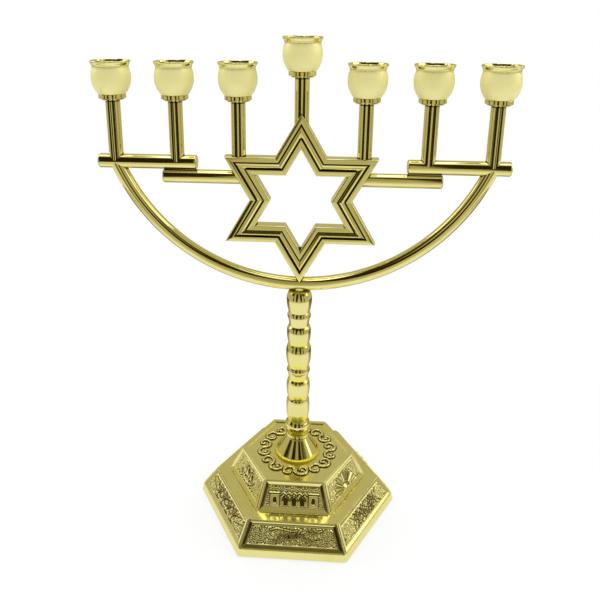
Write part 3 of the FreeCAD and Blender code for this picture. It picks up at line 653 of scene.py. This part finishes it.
    def gate(self) -> None:
        """A city wall with battlements, three arched doors and two towers."""
        self.block((-15.8, 0.5), (15.8, 8.0), 0.5)
        for side in (-1, 1):
            low, high = sorted((side * 16.2, side * 9.8))
            self.block((low, 0.5), (high, 8.8), 0.75)
            self.arch(side * 12.9, 2.4, 1.3, 4.2)
            self.stroke([(side * 16.4, 9.2), (side * 9.2, 9.2)], 1.0, 0.7)
        for x in (-5.6, 0.0, 5.6):
            self.arch(x, 0.7, 1.7, 5.6)
            self.stroke([polar(2.1, turn, (x, 4.6)) for turn in np.linspace(0, math.pi, 9)], 0.8, 0.3)
        self.stroke([(-9.0 + 1.8 * step, 9.7 if step % 2 else 8.3) for step in range(11)], 0.95, 0.6)

    def sun(self) -> None:
        """A half sun with a ring of rays, rising over the ground."""
        for step in range(11):
            turn = math.radians(8 + 16.4 * step)
            reaches = (4.6, 12.6 - 2.0 * math.sin(turn))
            self.stroke([polar(reach, turn, (0.0, 0.9)) for reach in reaches], 0.9, 0.5, 0.95)
        self.oval(0.0, 0.8, 3.5, 3.5, 1.1)
        self.ground(0.7, 0.7)

    def sheaf(self) -> None:
        """A bound sheaf of wheat."""
        self.ground(1.0)
        for step in range(9):
            lean = (step - 4) / 4
            self.stroke([(lean * 3.2, 1.2), (lean * 0.7, 5.0), (lean * 3.4, 8.6)], 0.65, 0.32, 0.24)
            tip = math.radians(90 - 32 * lean)
            for grain in range(4):
                x = lean * 3.4 + grain * 0.8 * math.cos(tip)
                y = 8.4 + grain * 0.9 * math.sin(tip)
                for side in (-1, 1):
                    self.oval(x + side * 0.3, y, 0.62, 0.34, 0.85, math.degrees(tip) - side * 35)
        self.stroke([(-1.6, 5.0), (1.6, 5.0)], 1.0, 0.6)

    def scales(self) -> None:
        """A pair of scales on a stand."""
        self.ground(1.0)
        self.stroke([(0, 1.2), (0, 10.4)], 0.85, 0.55, 0.35)
        self.oval(0, 10.8, 0.8, 0.8, 0.95)
        self.stroke([(-2.6, 1.5), (0, 2.4), (2.6, 1.5)], 0.8, 0.45)
        self.stroke([(-8.2, 9.2), (-4, 10.0), (0, 9.6), (4, 10.0), (8.2, 9.2)], 0.85, 0.36)
        for x in (-8.2, 8.2):
            for foot in (-2.7, 2.7):
                self.stroke([(x, 9.2), (x + foot, 4.4)], 0.5, 0.16)
            self.lift(np.minimum(self.in_oval(x, 4.5, 3.3, 2.0), 4.6 - self.up), 0.95, 0.9)

    def breastplate(self) -> None:
        """A square plate with twelve stones, hung from two chains."""
        self.block((-6.4, 0.9), (6.4, 11.3), 0.45)
        self.sink(self.in_block((-5.8, 1.5), (5.8, 10.7)), 0.2)
        for stone in range(12):
            self.oval(-4.2 + 2.8 * (stone // 3), 3.0 + 3.05 * (stone % 3), 1.1, 1.2, 0.95)
        for side in (-1, 1):
            for link in range(5):
                self.oval(side * (7.6 + 1.5 * link), 10.6 - 0.5 * link ** 1.3, 0.85, 0.5, 0.7, -20 * side)

    def ship(self) -> None:
        """A ship with two sails on waves."""
        hull = np.minimum(self.in_oval(0, 5.4, 8.6, 3.8), 4.5 - self.up)
        self.lift(hull, 0.9, 0.9)
        for level in (2.6, 3.5):
            self.sink(0.16 - np.abs(self.up - level) + np.where(hull > 0.4, 0, self.OUTSIDE), 0.45)
        self.stroke([(-8.7, 5.0), (-9.4, 6.2)], 0.8, 0.4)
        self.stroke([(8.7, 5.0), (9.6, 6.4)], 0.8, 0.4)
        for x, tall, wide in ((-3.2, 11.8, 4.0), (3.4, 10.6, 3.4)):
            self.stroke([(x, 4.4), (x, tall)], 0.75, 0.3)
            self.lift(np.minimum(self.in_oval(x + 0.2, 5.3, wide, tall - 5.6), self.up - 5.4), 0.8, 1.0)
            self.stroke([(x, 4.4), (x, tall)], 0.9, 0.22)
        for step in range(9):
            x = -12.5 + 3.1 * step
            self.stroke([(x - 1.5, 0.9), (x - 0.5, 1.6), (x + 0.5, 1.2), (x + 1.4, 0.9)], 0.6, 0.34)

    # Figures of the lower tier

    def deer(self) -> None:
        """A running deer under a bough."""
        across, up = self.across, self.up
        self.across, self.up = across / self.DEER_LENGTH, up / self.DEER_HEIGHT
        for part in ((0.0, 5.3, 5.6, 1.9, 6), (4.0, 5.9, 2.3, 2.0), (-4.2, 5.0, 2.4, 2.0),
                     (8.0, 8.2, 1.8, 0.95, -18)):
            self.lift(self.in_oval(*part), 0.7, 0.45)
        self.stroke([(4.6, 6.3), (6.9, 8.0)], 0.7, 1.4, 0.9)
        self.stroke([(6.9, 8.6), (5.9, 9.8), (4.0, 10.2)], 0.7, 0.34, 0.24)
        for hip, knee, hoof in (((5.2, 5.2), (8.0, 4.4), (11.2, 4.9)),
                                ((4.4, 4.8), (7.2, 3.2), (9.8, 2.0)),
                                ((-5.0, 4.6), (-7.4, 3.4), (-11.0, 3.8)),
                                ((-4.4, 4.2), (-6.2, 2.4), (-9.2, 1.0))):
            self.stroke([hip, knee], 0.7, 0.95, 0.5)
            self.stroke([knee, hoof], 0.7, 0.5, 0.36)
        # Painted shade: the whole deer is painted dark, and the painted shade of the stipple close round it
        # is cleared.
        cover = self.DEER_SHADE * np.clip(self.figure / 0.15, 0, 1)
        self.shadow = np.maximum(np.where(self.figure > -0.6, 0.0, self.shadow), cover)
        self.across, self.up = across, up
        self.ground(0.5)
        self.stroke([(-15.0, 9.4), (-11.0, 10.5), (-5.5, 9.8), (-0.5, 9.0), (3.0, 9.7)], 0.95, 0.42)
        self.stroke([(14.5, 10.5), (17.5, 9.4), (20.0, 10.2)], 0.95, 0.42)

    def olive(self) -> None:
        """An olive branch with fruit."""
        stem = [(-15 + 3 * step, 4.6 + 1.3 * math.sin(step * 0.8)) for step in range(11)]
        self.stroke(stem, 0.7, 0.42, 0.26)
        for step, (x, y) in enumerate(stem[1:]):
            turn = 48 + 9 * math.sin(step * 2)
            self.leaves(x, y, 4.0, (-turn, turn), 0.21)
            side = -1 if step % 2 else 1
            self.oval(x + 0.9, y + side * 1.5, 0.8, 0.62, 1.0, -70 * side)
        self.ground(0.5)

    def lion(self) -> None:
        """A standing lion among tufts of grass."""
        self.ground(0.8)
        self.oval(-0.6, 5.2, 4.6, 1.6, 1.0)
        self.oval(-4.6, 4.9, 1.8, 1.7, 1.0)
        self.petals(4.7, 6.7, 1.7, 11, 0.95, 0.6, 0.85)
        self.oval(4.9, 6.8, 1.45, 1.45, 1.05)
        self.oval(6.3, 6.3, 0.8, 0.6, 1.0)
        for hip, knee, paw in (((3.4, 4.6), (3.7, 2.8), (4.3, 1.2)), ((1.9, 4.4), (1.7, 2.7), (2.2, 1.2)),
                               ((-4.4, 4.4), (-5.2, 2.8), (-4.6, 1.2)),
                               ((-5.4, 4.4), (-6.7, 2.9), (-6.4, 1.2))):
            self.stroke([hip, knee, paw], 0.85, 0.78, 0.42)
            self.oval(paw[0] + 0.4, paw[1], 0.8, 0.42, 0.8)
        self.stroke([(-6.0, 5.6), (-8.6, 5.4), (-9.6, 7.0), (-8.8, 8.6)], 0.75, 0.3, 0.24)
        self.oval(-8.6, 8.9, 0.85, 0.55, 0.85, 60)
        for x in (-13.6, -16.6, -19.6, 13.6, 16.6, 19.6):
            self.leaves(x, 1.2, 4.2, (55, 90, 125), 0.15)

    def tents(self) -> None:
        """Three tents between palm trees."""
        self.ground(0.8)
        for x in (-10.5, 0.0, 10.5):
            away = np.abs(self.across - x)
            tent = np.minimum((4.6 - away) * 1.05 / 1.45 - (self.up - 3.2) * 0.9, self.up - 1.0)
            self.lift(np.minimum(tent, 7.6 - self.up), 0.85, 0.5)
            self.sink((self.up < 5.6) * (1.1 * (5.6 - self.up) / 4.6 - away), 0.15)
            self.stroke([(x, 6.6), (x, 8.4)], 0.8, 0.2)
        for x in (-16.5, -5.2, 5.2, 16.5):
            self.stroke([(x, 1.0), (x + 0.3, 6.8)], 0.8, 0.42, 0.28)
            self.leaves(x + 0.3, 6.8, 2.8, (20, 65, 115, 160, -15, 195), 0.2)

    def grapes(self) -> None:
        """A vine with three bunches of grapes."""
        vine = [(-17 + 2.4 * step, 8.4 + 0.8 * math.sin(step * 0.9)) for step in range(15)]
        self.stroke(vine, 0.7, 0.4, 0.28)
        for x in (-10.5, 0.0, 10.5):
            for row in range(5):
                for berry in range(5 - row):
                    self.oval(x + (berry - (4 - row) / 2) * 1.3, 6.6 - row * 1.15, 0.74, 0.74, 0.95)
        for x in (-15.0, -5.3, 5.3, 15.0):
            self.leaves(x, 6.6, 3.4, (-90, -35, -145, 20, 160), 0.26)

    def flowers(self) -> None:
        """Four flowering plants."""
        self.ground(0.7)
        for x, tall in ((-13.5, 6.6), (-4.6, 7.6), (4.6, 6.6), (13.5, 7.6)):
            self.stroke([(x, 1.0), (x + 0.5, 3.8), (x, tall)], 0.7, 0.36, 0.26)
            self.leaves(x + 0.3, 1.6, 4.2, (25, 62, 118, 155), 0.19)
            self.petals(x, tall, 1.15, 6, 0.85, 0.5, 0.8)
            self.oval(x, tall, 0.62, 0.62, 1.05)


@dataclass
class Tier:
    """One tier's six sloping panels.  Sizes are in millimetres."""

    name: str
    foot: float
    rise: float
    foot_radius: float
    top_radius: float
    figure_height: float
    top_bevel: float
    emblems: tuple[Emblem, ...]
    inset: float = 0.95
    lip: float = 0.34
    bevel: float = 1.6
    foot_bevel: float = 1.9
    plateau_start: float = 2.9
    plateau_bevel: float = 0.3
    plateau: float = 0.14
    field_fade: float = 0.3
    tallest: float = 1.1
    pit_level: float = 0.24
    pit_shade: float = 0.42
    # Width and strength of the painted shade along the foot of the plateau.
    groove_width: float = 0.25
    groove_shade: float = 0.7
    back: float = 0.65
    cell: float = 0.22

    def surface(self, edges: list[Field], carving: Carving) -> tuple[Field, Field]:
        """Heights over the tier's face and the shade of each point.

        Args:
            edges: distances to the foot, the top, and the nearer side of the face.
            carving: the relief of the field.

        Returns:
            The heights in millimetres, and the shades from 0 to 1.
        """
        frame = np.zeros_like(edges[0])
        for away, width in zip(edges, (self.foot_bevel, self.top_bevel, self.bevel)):
            frame = np.maximum(frame, self.lip * (1 - (away - self.inset) / width))
        inner = np.minimum.reduce(edges) - self.plateau_start
        step = np.clip(inner / self.plateau_bevel, 0, 1)
        field_share = np.clip((inner - self.plateau_bevel) / self.field_fade, 0, 1)
        level = np.clip(carving.level, 0.0, self.tallest)
        # Painted shade: darker stipple valleys, the carving's outlines and openings, and a dark line along
        # the foot of the plateau.
        pits = self.pit_shade * np.clip(1 - level / self.pit_level, 0, 1)
        plateau_shade = self.groove_shade * np.clip(1 - np.abs(inner) / self.groove_width, 0, 1)
        shade = np.maximum(field_share * np.maximum(carving.shadow, pits), plateau_shade)
        return frame + self.plateau * step + level * field_share, shade

    def build(self, side: int, skin: Material) -> None:
        """Carve one framed panel and lay it over its sunk field.

        Args:
            side: number of the hexagon's side, counted anticlockwise from the front.
            skin: its material.
        """
        run = (self.foot_radius - self.top_radius) * math.cos(math.pi / 6)
        slope = math.hypot(self.rise, run)
        narrowing = (self.foot_radius - self.top_radius) / 2
        lean_share = slope / math.hypot(slope, narrowing)
        height = slope - 2 * self.inset

        wide, narrow = (self.foot_radius / 2 - narrowing * level / slope - self.inset / lean_share
                        for level in (self.inset, slope - self.inset))
        mesh = bmesh.new()
        bmesh.ops.create_grid(mesh, x_segments=round(2 * wide / self.cell),
                              y_segments=round(height / self.cell), size=0.5)
        spots = np.array([corner.co[:2] for corner in mesh.verts])
        spots = (spots - spots.min(0)) / (spots.max(0) - spots.min(0))
        up = spots[:, 1] * height
        reach = wide + (narrow - wide) * spots[:, 1]
        across = (2 * spots[:, 0] - 1) * reach
        rest = self.plateau_start + self.plateau_bevel - self.inset
        grow = self.figure_height / (height - 2 * rest)
        carving = Carving(across * grow, (up - rest) * grow)
        emblem = self.emblems[side].name
        getattr(carving, emblem)()
        edges = [self.inset + away for away in (up, height - up, (reach - np.abs(across)) * lean_share)]
        level, shades = self.surface(edges, carving)

        climb = Vector((0, run, self.rise)) / slope
        outward = Vector((0, -climb.z, climb.y))
        floor = Vector((0, -self.foot_radius * math.cos(math.pi / 6), self.foot)) + climb * self.inset
        for corner, x, y, lift in zip(mesh.verts, across, up, level):
            corner.co = floor + Vector((x, 0, 0)) + climb * y + outward * lift
        rim = [item for item in mesh.edges if item.is_boundary]
        grown = bmesh.ops.extrude_edge_only(mesh, edges=rim)["geom"]
        lower = [item for item in grown if isinstance(item, bmesh.types.BMVert)]
        bmesh.ops.translate(mesh, vec=-outward * (self.lip + self.back), verts=lower)
        bmesh.ops.holes_fill(mesh, edges=[item for item in mesh.edges if item.is_boundary], sides=0)
        bmesh.ops.rotate(mesh, cent=(0, 0, 0), verts=mesh.verts,
                         matrix=Matrix.Rotation(side * math.tau / HEX_SIDES, 3, "Z"))
        finished(f"{self.name}_panel_{emblem}", mesh, shades, skin, "base", 70)


# ---- ornament ring


@dataclass
class ScrollRing:
    """Ring of raised volutes with berries round the column's foot.  Sizes are in millimetres.

    The strip is the section of a volute, as shares of its half width and of its height.  The skirt is a low
    border that carries an outline of painted shade, darkest next to the platform.
    """

    level: float = 33.15
    middle: float = 20.4
    stagger: float = 0.6
    scrolls: int = 16
    height: float = 1.15
    end_drop: float = 0.25
    half_widths: Point = (0.936, 0.504)
    skirt: float = 0.45
    skirt_height: float = 0.06
    sink: float = 0.2
    volute_steps: int = 22
    volute_start: float = -1.7
    volute_turn: float = 0.31
    volute_reaches: Point = (4.5, 1.3)
    berry: float = 1.25
    berry_squash: float = 0.75
    # Painted shade, in full next to the platform and fading out up the volutes.
    dark_full: float = 1.15
    dark_reach: float = 0.805
    strip: tuple[Point, ...] = ((-1.0, 0.12), (-0.92, 0.6), (-0.66, 0.92), (0.0, 1.0), (0.66, 0.92),
                                (0.92, 0.6), (1.0, 0.12))

    def sweep(self, mesh: Mesh, path: list[Point]) -> None:
        """Run a rounded strip along a path on the platform, narrower towards its end.

        Args:
            mesh: mesh that takes the strip.
            path: places on the platform.
        """
        spots = [Vector((x, y, self.level)) for x, y in path]
        halves = np.linspace(*self.half_widths, len(spots))
        cap = None
        for step, (spot, half) in enumerate(zip(spots, halves)):
            ahead = (spots[min(step + 1, len(spots) - 1)] - spots[max(step - 1, 0)]).normalized()
            beside = Vector((-ahead.y, ahead.x, 0))
            tall = self.height * (1 - self.end_drop * (1 - half / halves[0]))
            edge = half + self.skirt
            section = [(half * x, tall * z) for x, z in self.strip]
            section += [(edge, self.skirt_height), (edge, -self.sink), (-edge, -self.sink),
                        (-edge, self.skirt_height)]
            places = [spot + beside * x + Vector((0, 0, z)) for x, z in section]
            if cap is None:
                cap = mesh.faces.new([mesh.verts.new(place) for place in places])
                continue
            grown = bmesh.ops.extrude_face_region(mesh, geom=[cap, *cap.edges])["geom"]
            cap = next(item for item in grown if isinstance(item, bmesh.types.BMFace))
            for corner, place in zip(cap.verts, places):
                corner.co = place

    def build(self, skin: Material) -> None:
        """Lay the volutes and their berries as one piece.

        Args:
            skin: its material.
        """
        mesh = bmesh.new()
        for number in range(self.scrolls):
            side = -1 if number % 2 else 1
            turn = math.tau * (number + 0.5) / self.scrolls
            centre = polar(self.middle - side * self.stagger, turn)
            reaches = np.linspace(*self.volute_reaches, self.volute_steps)
            self.sweep(mesh, [polar(side * reach, turn + self.volute_start + step * self.volute_turn, centre)
                              for step, reach in enumerate(reaches)])
            berry = bmesh.ops.create_uvsphere(mesh, u_segments=14, v_segments=8, radius=self.berry)["verts"]
            bmesh.ops.scale(mesh, vec=(1, 1, self.berry_squash), verts=berry)
            bmesh.ops.translate(mesh, vec=(*centre, self.level), verts=berry)
        # Painted shade: volutes and berries darker towards the platform.
        heights = np.array([corner.co.z for corner in mesh.verts]) - self.level
        shades = np.clip(self.dark_full - heights / self.dark_reach, 0, 1)
        finished("platform_scroll_ring", mesh, shades, skin, "base", 60)


# ---- studio


@dataclass(frozen=True)
class DarkCard:
    """A dark card of the studio that polished metal reflects.  Angles are in degrees."""

    left: float
    right: float
    low: float
    high: float
    shade: float
    soft: float = 2.0
    foot: float = 2.0
    head: float = 4.0


@dataclass(frozen=True)
class Softbox:
    """A square soft light, with its size in metres and its power in watts."""

    name: str
    place: tuple[float, float, float]
    size: float
    power: float


@dataclass
class Studio:
    """Camera, soft lights, pale floor and the surroundings that the metal reflects.

    Polished metal mirrors a table, a dimmer belt round it and a bright ceiling, with dark cards before them.
    The pairs are where one tone fades into the next: reaches in metres, and heights in degrees.
    """

    camera_place: tuple[float, float, float] = (0.01540, -0.33840, 0.29121)
    yaw: float = 3.79
    pitch: float = -17.10
    roll: float = -0.44
    lens: float = 38.676
    slide: float = 0.0203
    rise: float = -0.14667
    floor_radius: float = 0.42
    paper: float = 0.9
    glow_reach: Point = (0.126, 0.294)
    least_glow: float = 0.72
    table: float = 0.95
    belt: float = 0.50
    belt_reach: Point = (0.231, 0.42)
    back_table: float = 0.15
    back_reach: Point = (0.0, 0.11)
    table_edge: Point = (-34.0, -12.0)
    overhead: float = 1.15
    overhead_edge: Point = (60.0, 72.0)
    even: float = 0.95
    softboxes: tuple[Softbox, ...] = (
        Softbox("overhead_softbox", (-0.1, 0.15, 1.35), 0.9, 3.0),
        Softbox("left_softbox", (-1.1, 0.25, 0.75), 0.7, 2.0),
        Softbox("right_softbox", (1.1, 0.1, 0.75), 0.85, 3.0),
    )
    cards: tuple[DarkCard, ...] = (
        DarkCard(-82, 56, 32, 64, 0.03, 8.0, 10.0, 3.0),
        DarkCard(-76, -48, 10, 62, 0.02, 5.0, 2.0, 3.0),
        DarkCard(32, 60, 24, 60, 0.05, 5.0, 4.0, 3.0),
        DarkCard(-9, 6, 42, 58, 0.14, 2.0, 10.0),
        DarkCard(-30, -9, -2, 50, 0.012, 2.0, 4.0),
        DarkCard(9, 27, -2, 50, 0.015, 2.0, 4.0),
        DarkCard(-29, -13, -18, 4, 0.02),
        DarkCard(14, 27, -18, 4, 0.03),
        DarkCard(-55, -46, -2, 26, 0.16),
        DarkCard(42, 48, -2, 26, 0.16),
        DarkCard(-57, -45, -18, 2, 0.05),
        DarkCard(42, 51, -18, 2, 0.05),
        DarkCard(-7, 7, 2, 38, 0.36),
    )

    def camera(self) -> None:
        """Place the camera."""
        data = bpy.data.cameras.new("camera")
        data.lens = self.lens
        data.shift_x, data.shift_y = self.slide, self.rise
        data.clip_start, data.clip_end = 0.01, 50.0
        camera = placed("camera", data)
        turn = (Matrix.Rotation(math.radians(self.yaw), 3, "Z")
                @ Matrix.Rotation(math.radians(self.pitch), 3, "X")
                @ Matrix.Rotation(math.radians(self.roll), 3, "Y"))
        right, ahead, above = turn.col
        pose = Matrix((right, above, -ahead)).transposed().to_4x4()
        pose.translation = Vector(self.camera_place)
        camera.matrix_world = pose
        bpy.context.scene.camera = camera

    def lamps(self) -> None:
        """Hang the soft lights, all aimed at the middle of the object."""
        middle = Vector((0.0, 0.0, CAD_BOX[1].z / 2))
        for box in self.softboxes:
            data = bpy.data.lights.new(box.name, "AREA")
            data.size, data.energy = box.size, box.power
            lamp = placed(box.name, data)
            lamp.location = box.place
            lamp.rotation_euler = (middle - lamp.location).to_track_quat("-Z", "Y").to_euler()

    def floor(self) -> None:
        """Lay the pale round floor."""
        mesh = bmesh.new()
        bmesh.ops.create_circle(mesh, cap_ends=True, segments=96, radius=self.floor_radius)
        data = bpy.data.meshes.new("studio_floor")
        mesh.to_mesh(data)
        mesh.free()
        placed("studio_floor", data)
        skin = bpy.data.materials.new("floor_paper")
        skin.use_nodes = True
        sketch = NodeSketch(skin.node_tree)
        path = sketch.add("LightPath")
        seen = sketch.math("MAXIMUM", path.outputs["Is Camera Ray"], path.outputs["Is Glossy Ray"])
        paper = sketch.add("BsdfDiffuse", color=(self.paper, self.paper, self.paper, 1.0))
        place = sketch.add("TexCoord").outputs["Object"]
        reach = sketch.add("VectorMath", {"operation": "LENGTH"}, vector=place).outputs["Value"]
        cover = sketch.ease(reach, *self.glow_reach, self.least_glow, 1.0)
        front = sketch.ease(reach, *self.belt_reach, self.table, self.belt)
        depth = sketch.add("SeparateXYZ", vector=place).outputs["Y"]
        mirrored = sketch.math("MULTIPLY", front, sketch.ease(depth, *self.back_reach, 1.0, self.back_table))
        bright = sketch.between(path.outputs["Is Camera Ray"], mirrored, 1.0)
        glow = sketch.add("Emission", color=sketch.toned(bright), strength=1.0)
        share = sketch.math("MULTIPLY", seen, cover)
        mix = sketch.add("MixShader", in_0=share, in_1=paper.outputs[0], in_2=glow.outputs[0])
        sketch.add("OutputMaterial", surface=mix.outputs[0])
        data.materials.append(skin)

    def surroundings(self) -> None:
        """White for the camera, an even tone for diffuse light, and a studio for the metal."""
        world = bpy.data.worlds.new("studio")
        world.use_nodes = True
        bpy.context.scene.world = world
        sketch = NodeSketch(world.node_tree)
        way = sketch.add("SeparateXYZ", vector=sketch.add("TexCoord").outputs["Generated"])
        back = sketch.math("MULTIPLY", way.outputs["Y"], -1.0)
        azimuth = sketch.math("DEGREES", sketch.math("ARCTAN2", way.outputs["X"], back))
        height = sketch.math("DEGREES", sketch.math("ARCSINE", way.outputs["Z"]))
        above = sketch.ease(height, *self.overhead_edge, self.belt, self.overhead)
        room = sketch.between(sketch.ease(height, *self.table_edge, 1.0, 0.0), above, self.table)
        for card in self.cards:
            inside = sketch.ease(azimuth, card.left - card.soft, card.left + card.soft)
            for value, edge, soft, rising in ((azimuth, card.right, card.soft, 0.0),
                                              (height, card.low, card.foot, 1.0),
                                              (height, card.high, card.head, 0.0)):
                cover = sketch.ease(value, edge - soft, edge + soft, 1.0 - rising, rising)
                inside = sketch.math("MULTIPLY", inside, cover)
            room = sketch.between(inside, room, card.shade)
        path = sketch.add("LightPath")
        reflected = sketch.add("Background", color=sketch.toned(room), strength=1.0)
        even, white = (sketch.add("Background", color=(1.0, 1.0, 1.0, 1.0), strength=strength)
                       for strength in (self.even, 1.0))
        light = sketch.add("MixShader", in_0=path.outputs["Is Glossy Ray"], in_1=even.outputs[0],
                           in_2=reflected.outputs[0])
        shown = sketch.add("MixShader", in_0=path.outputs["Is Camera Ray"], in_1=light.outputs[0],
                           in_2=white.outputs[0])
        sketch.add("OutputWorld", surface=shown.outputs[0])

    def build(self) -> None:
        """Set up the whole studio."""
        self.camera()
        self.floor()
        self.surroundings()
        self.lamps()
        bpy.context.scene.view_settings.view_transform = "Standard"
        LOG.info("studio: camera, floor and lights are up")


# ---- assembly


# Bright yellow painted reflection in the hollows between beads and on the rings where they meet.
COLUMN_PLATE = GoldPlate("bright_gold_plate", 0.06, 0.02, wave_height=0.000006, grain_height=0.0000003,
                         recess=(0.9, 0.79, 0.12), recess_reach=0.003, recess_share=1.0,
                         recess_open=(0.75, 0.97), recess_roughness=0.9,
                         rings=((0.0467, 0.0509), (0.0570, 0.0610), (0.0724, 0.0746), (0.0837, 0.0860),
                                (0.0935, 0.0952), (0.1069, 0.1088)))
# The flange below band_top is painted a deeper yellow as painted reflection.
FOOT_PLATE = replace(COLUMN_PLATE, name="plated_foot", recess_roughness=0.8, rings=(), band_top=0.0352)
# Near-black painted shade in the grooves and where parts meet.
BAR_PLATE = GoldPlate("plated_bars", 0.06, 0.015, wave_height=0.000003, grain_height=0.0000002,
                      recess=(0.02, 0.012, 0.001), recess_reach=0.0013, recess_share=1.0,
                      recess_open=(0.5, 0.9))
STEM_PLATE = replace(BAR_PLATE, name="plated_stems", recess_open=(0.75, 0.97))
# Painted shade in the recesses of the casting.
CAST_PLATE = GoldPlate("cast_gold_plate", 0.17, 0.1, recess_share=0.45, recess_reach=0.0015,
                       grain_height=0.000006)
# Painted shade in recesses and wherever a mesh marks shade.
CARVED_PLATE = GoldPlate("carved_gold_plate", 0.10, recess=(0.10, 0.07, 0.008), recess_share=0.4,
                         recess_reach=0.0008, shade_share=1.0, grain_height=0.000004)
NODE_FINISHES: dict[Finish, tuple[str, ...]] = {
    BAR_PLATE: ("bow", "star_frame", "upper_crossbar_left", "upper_crossbar_right", "lower_crossbar_left",
                "lower_crossbar_right"),
    STEM_PLATE: tuple(f"candle_stem_{number}" for number in CUP_NUMBERS),
    COLUMN_PLATE: ("collar_bead", "long_bead", "lower_spindle", "upper_spindle"),
    FOOT_PLATE: ("column_foot",),
    CAST_PLATE: ("base_casting",),
    Felt("pressed_felt"): ("felt_pad",),
    ZincSteel("zinc_steel_rod"): ("tie_rod", "rod_washer", "rod_nut"),
}
TIERS = (
    Tier(name="upper", foot=17.5, rise=16.25, foot_radius=42.0, top_radius=33.4, figure_height=13.4,
         top_bevel=1.5, emblems=tuple(Emblem)[:HEX_SIDES]),
    Tier(name="lower", foot=4.6, rise=12.9, foot_radius=59.5, top_radius=49.4, figure_height=11.1,
         top_bevel=0.6, emblems=tuple(Emblem)[HEX_SIDES:]),
)


def build_menorah() -> None:
    """Dress the CAD nodes and add the new pieces in order."""
    for finish, nodes in NODE_FINISHES.items():
        skin = finish.material()
        for node in nodes:
            dress(node, skin)
    cups = CandleCups(SatinCup("satin_cup_plate").material())
    for number in CUP_NUMBERS:
        cups.build(number)
    carved = CARVED_PLATE.material()
    for tier in TIERS:
        for side in range(HEX_SIDES):
            tier.build(side, carved)
    ScrollRing().build(carved)


def main() -> None:
    """Build the scene."""
    logging.basicConfig(level=logging.INFO, format="%(name)s: %(message)s")
    Studio().build()
    build_menorah()


if __name__ == "__main__":
    main()
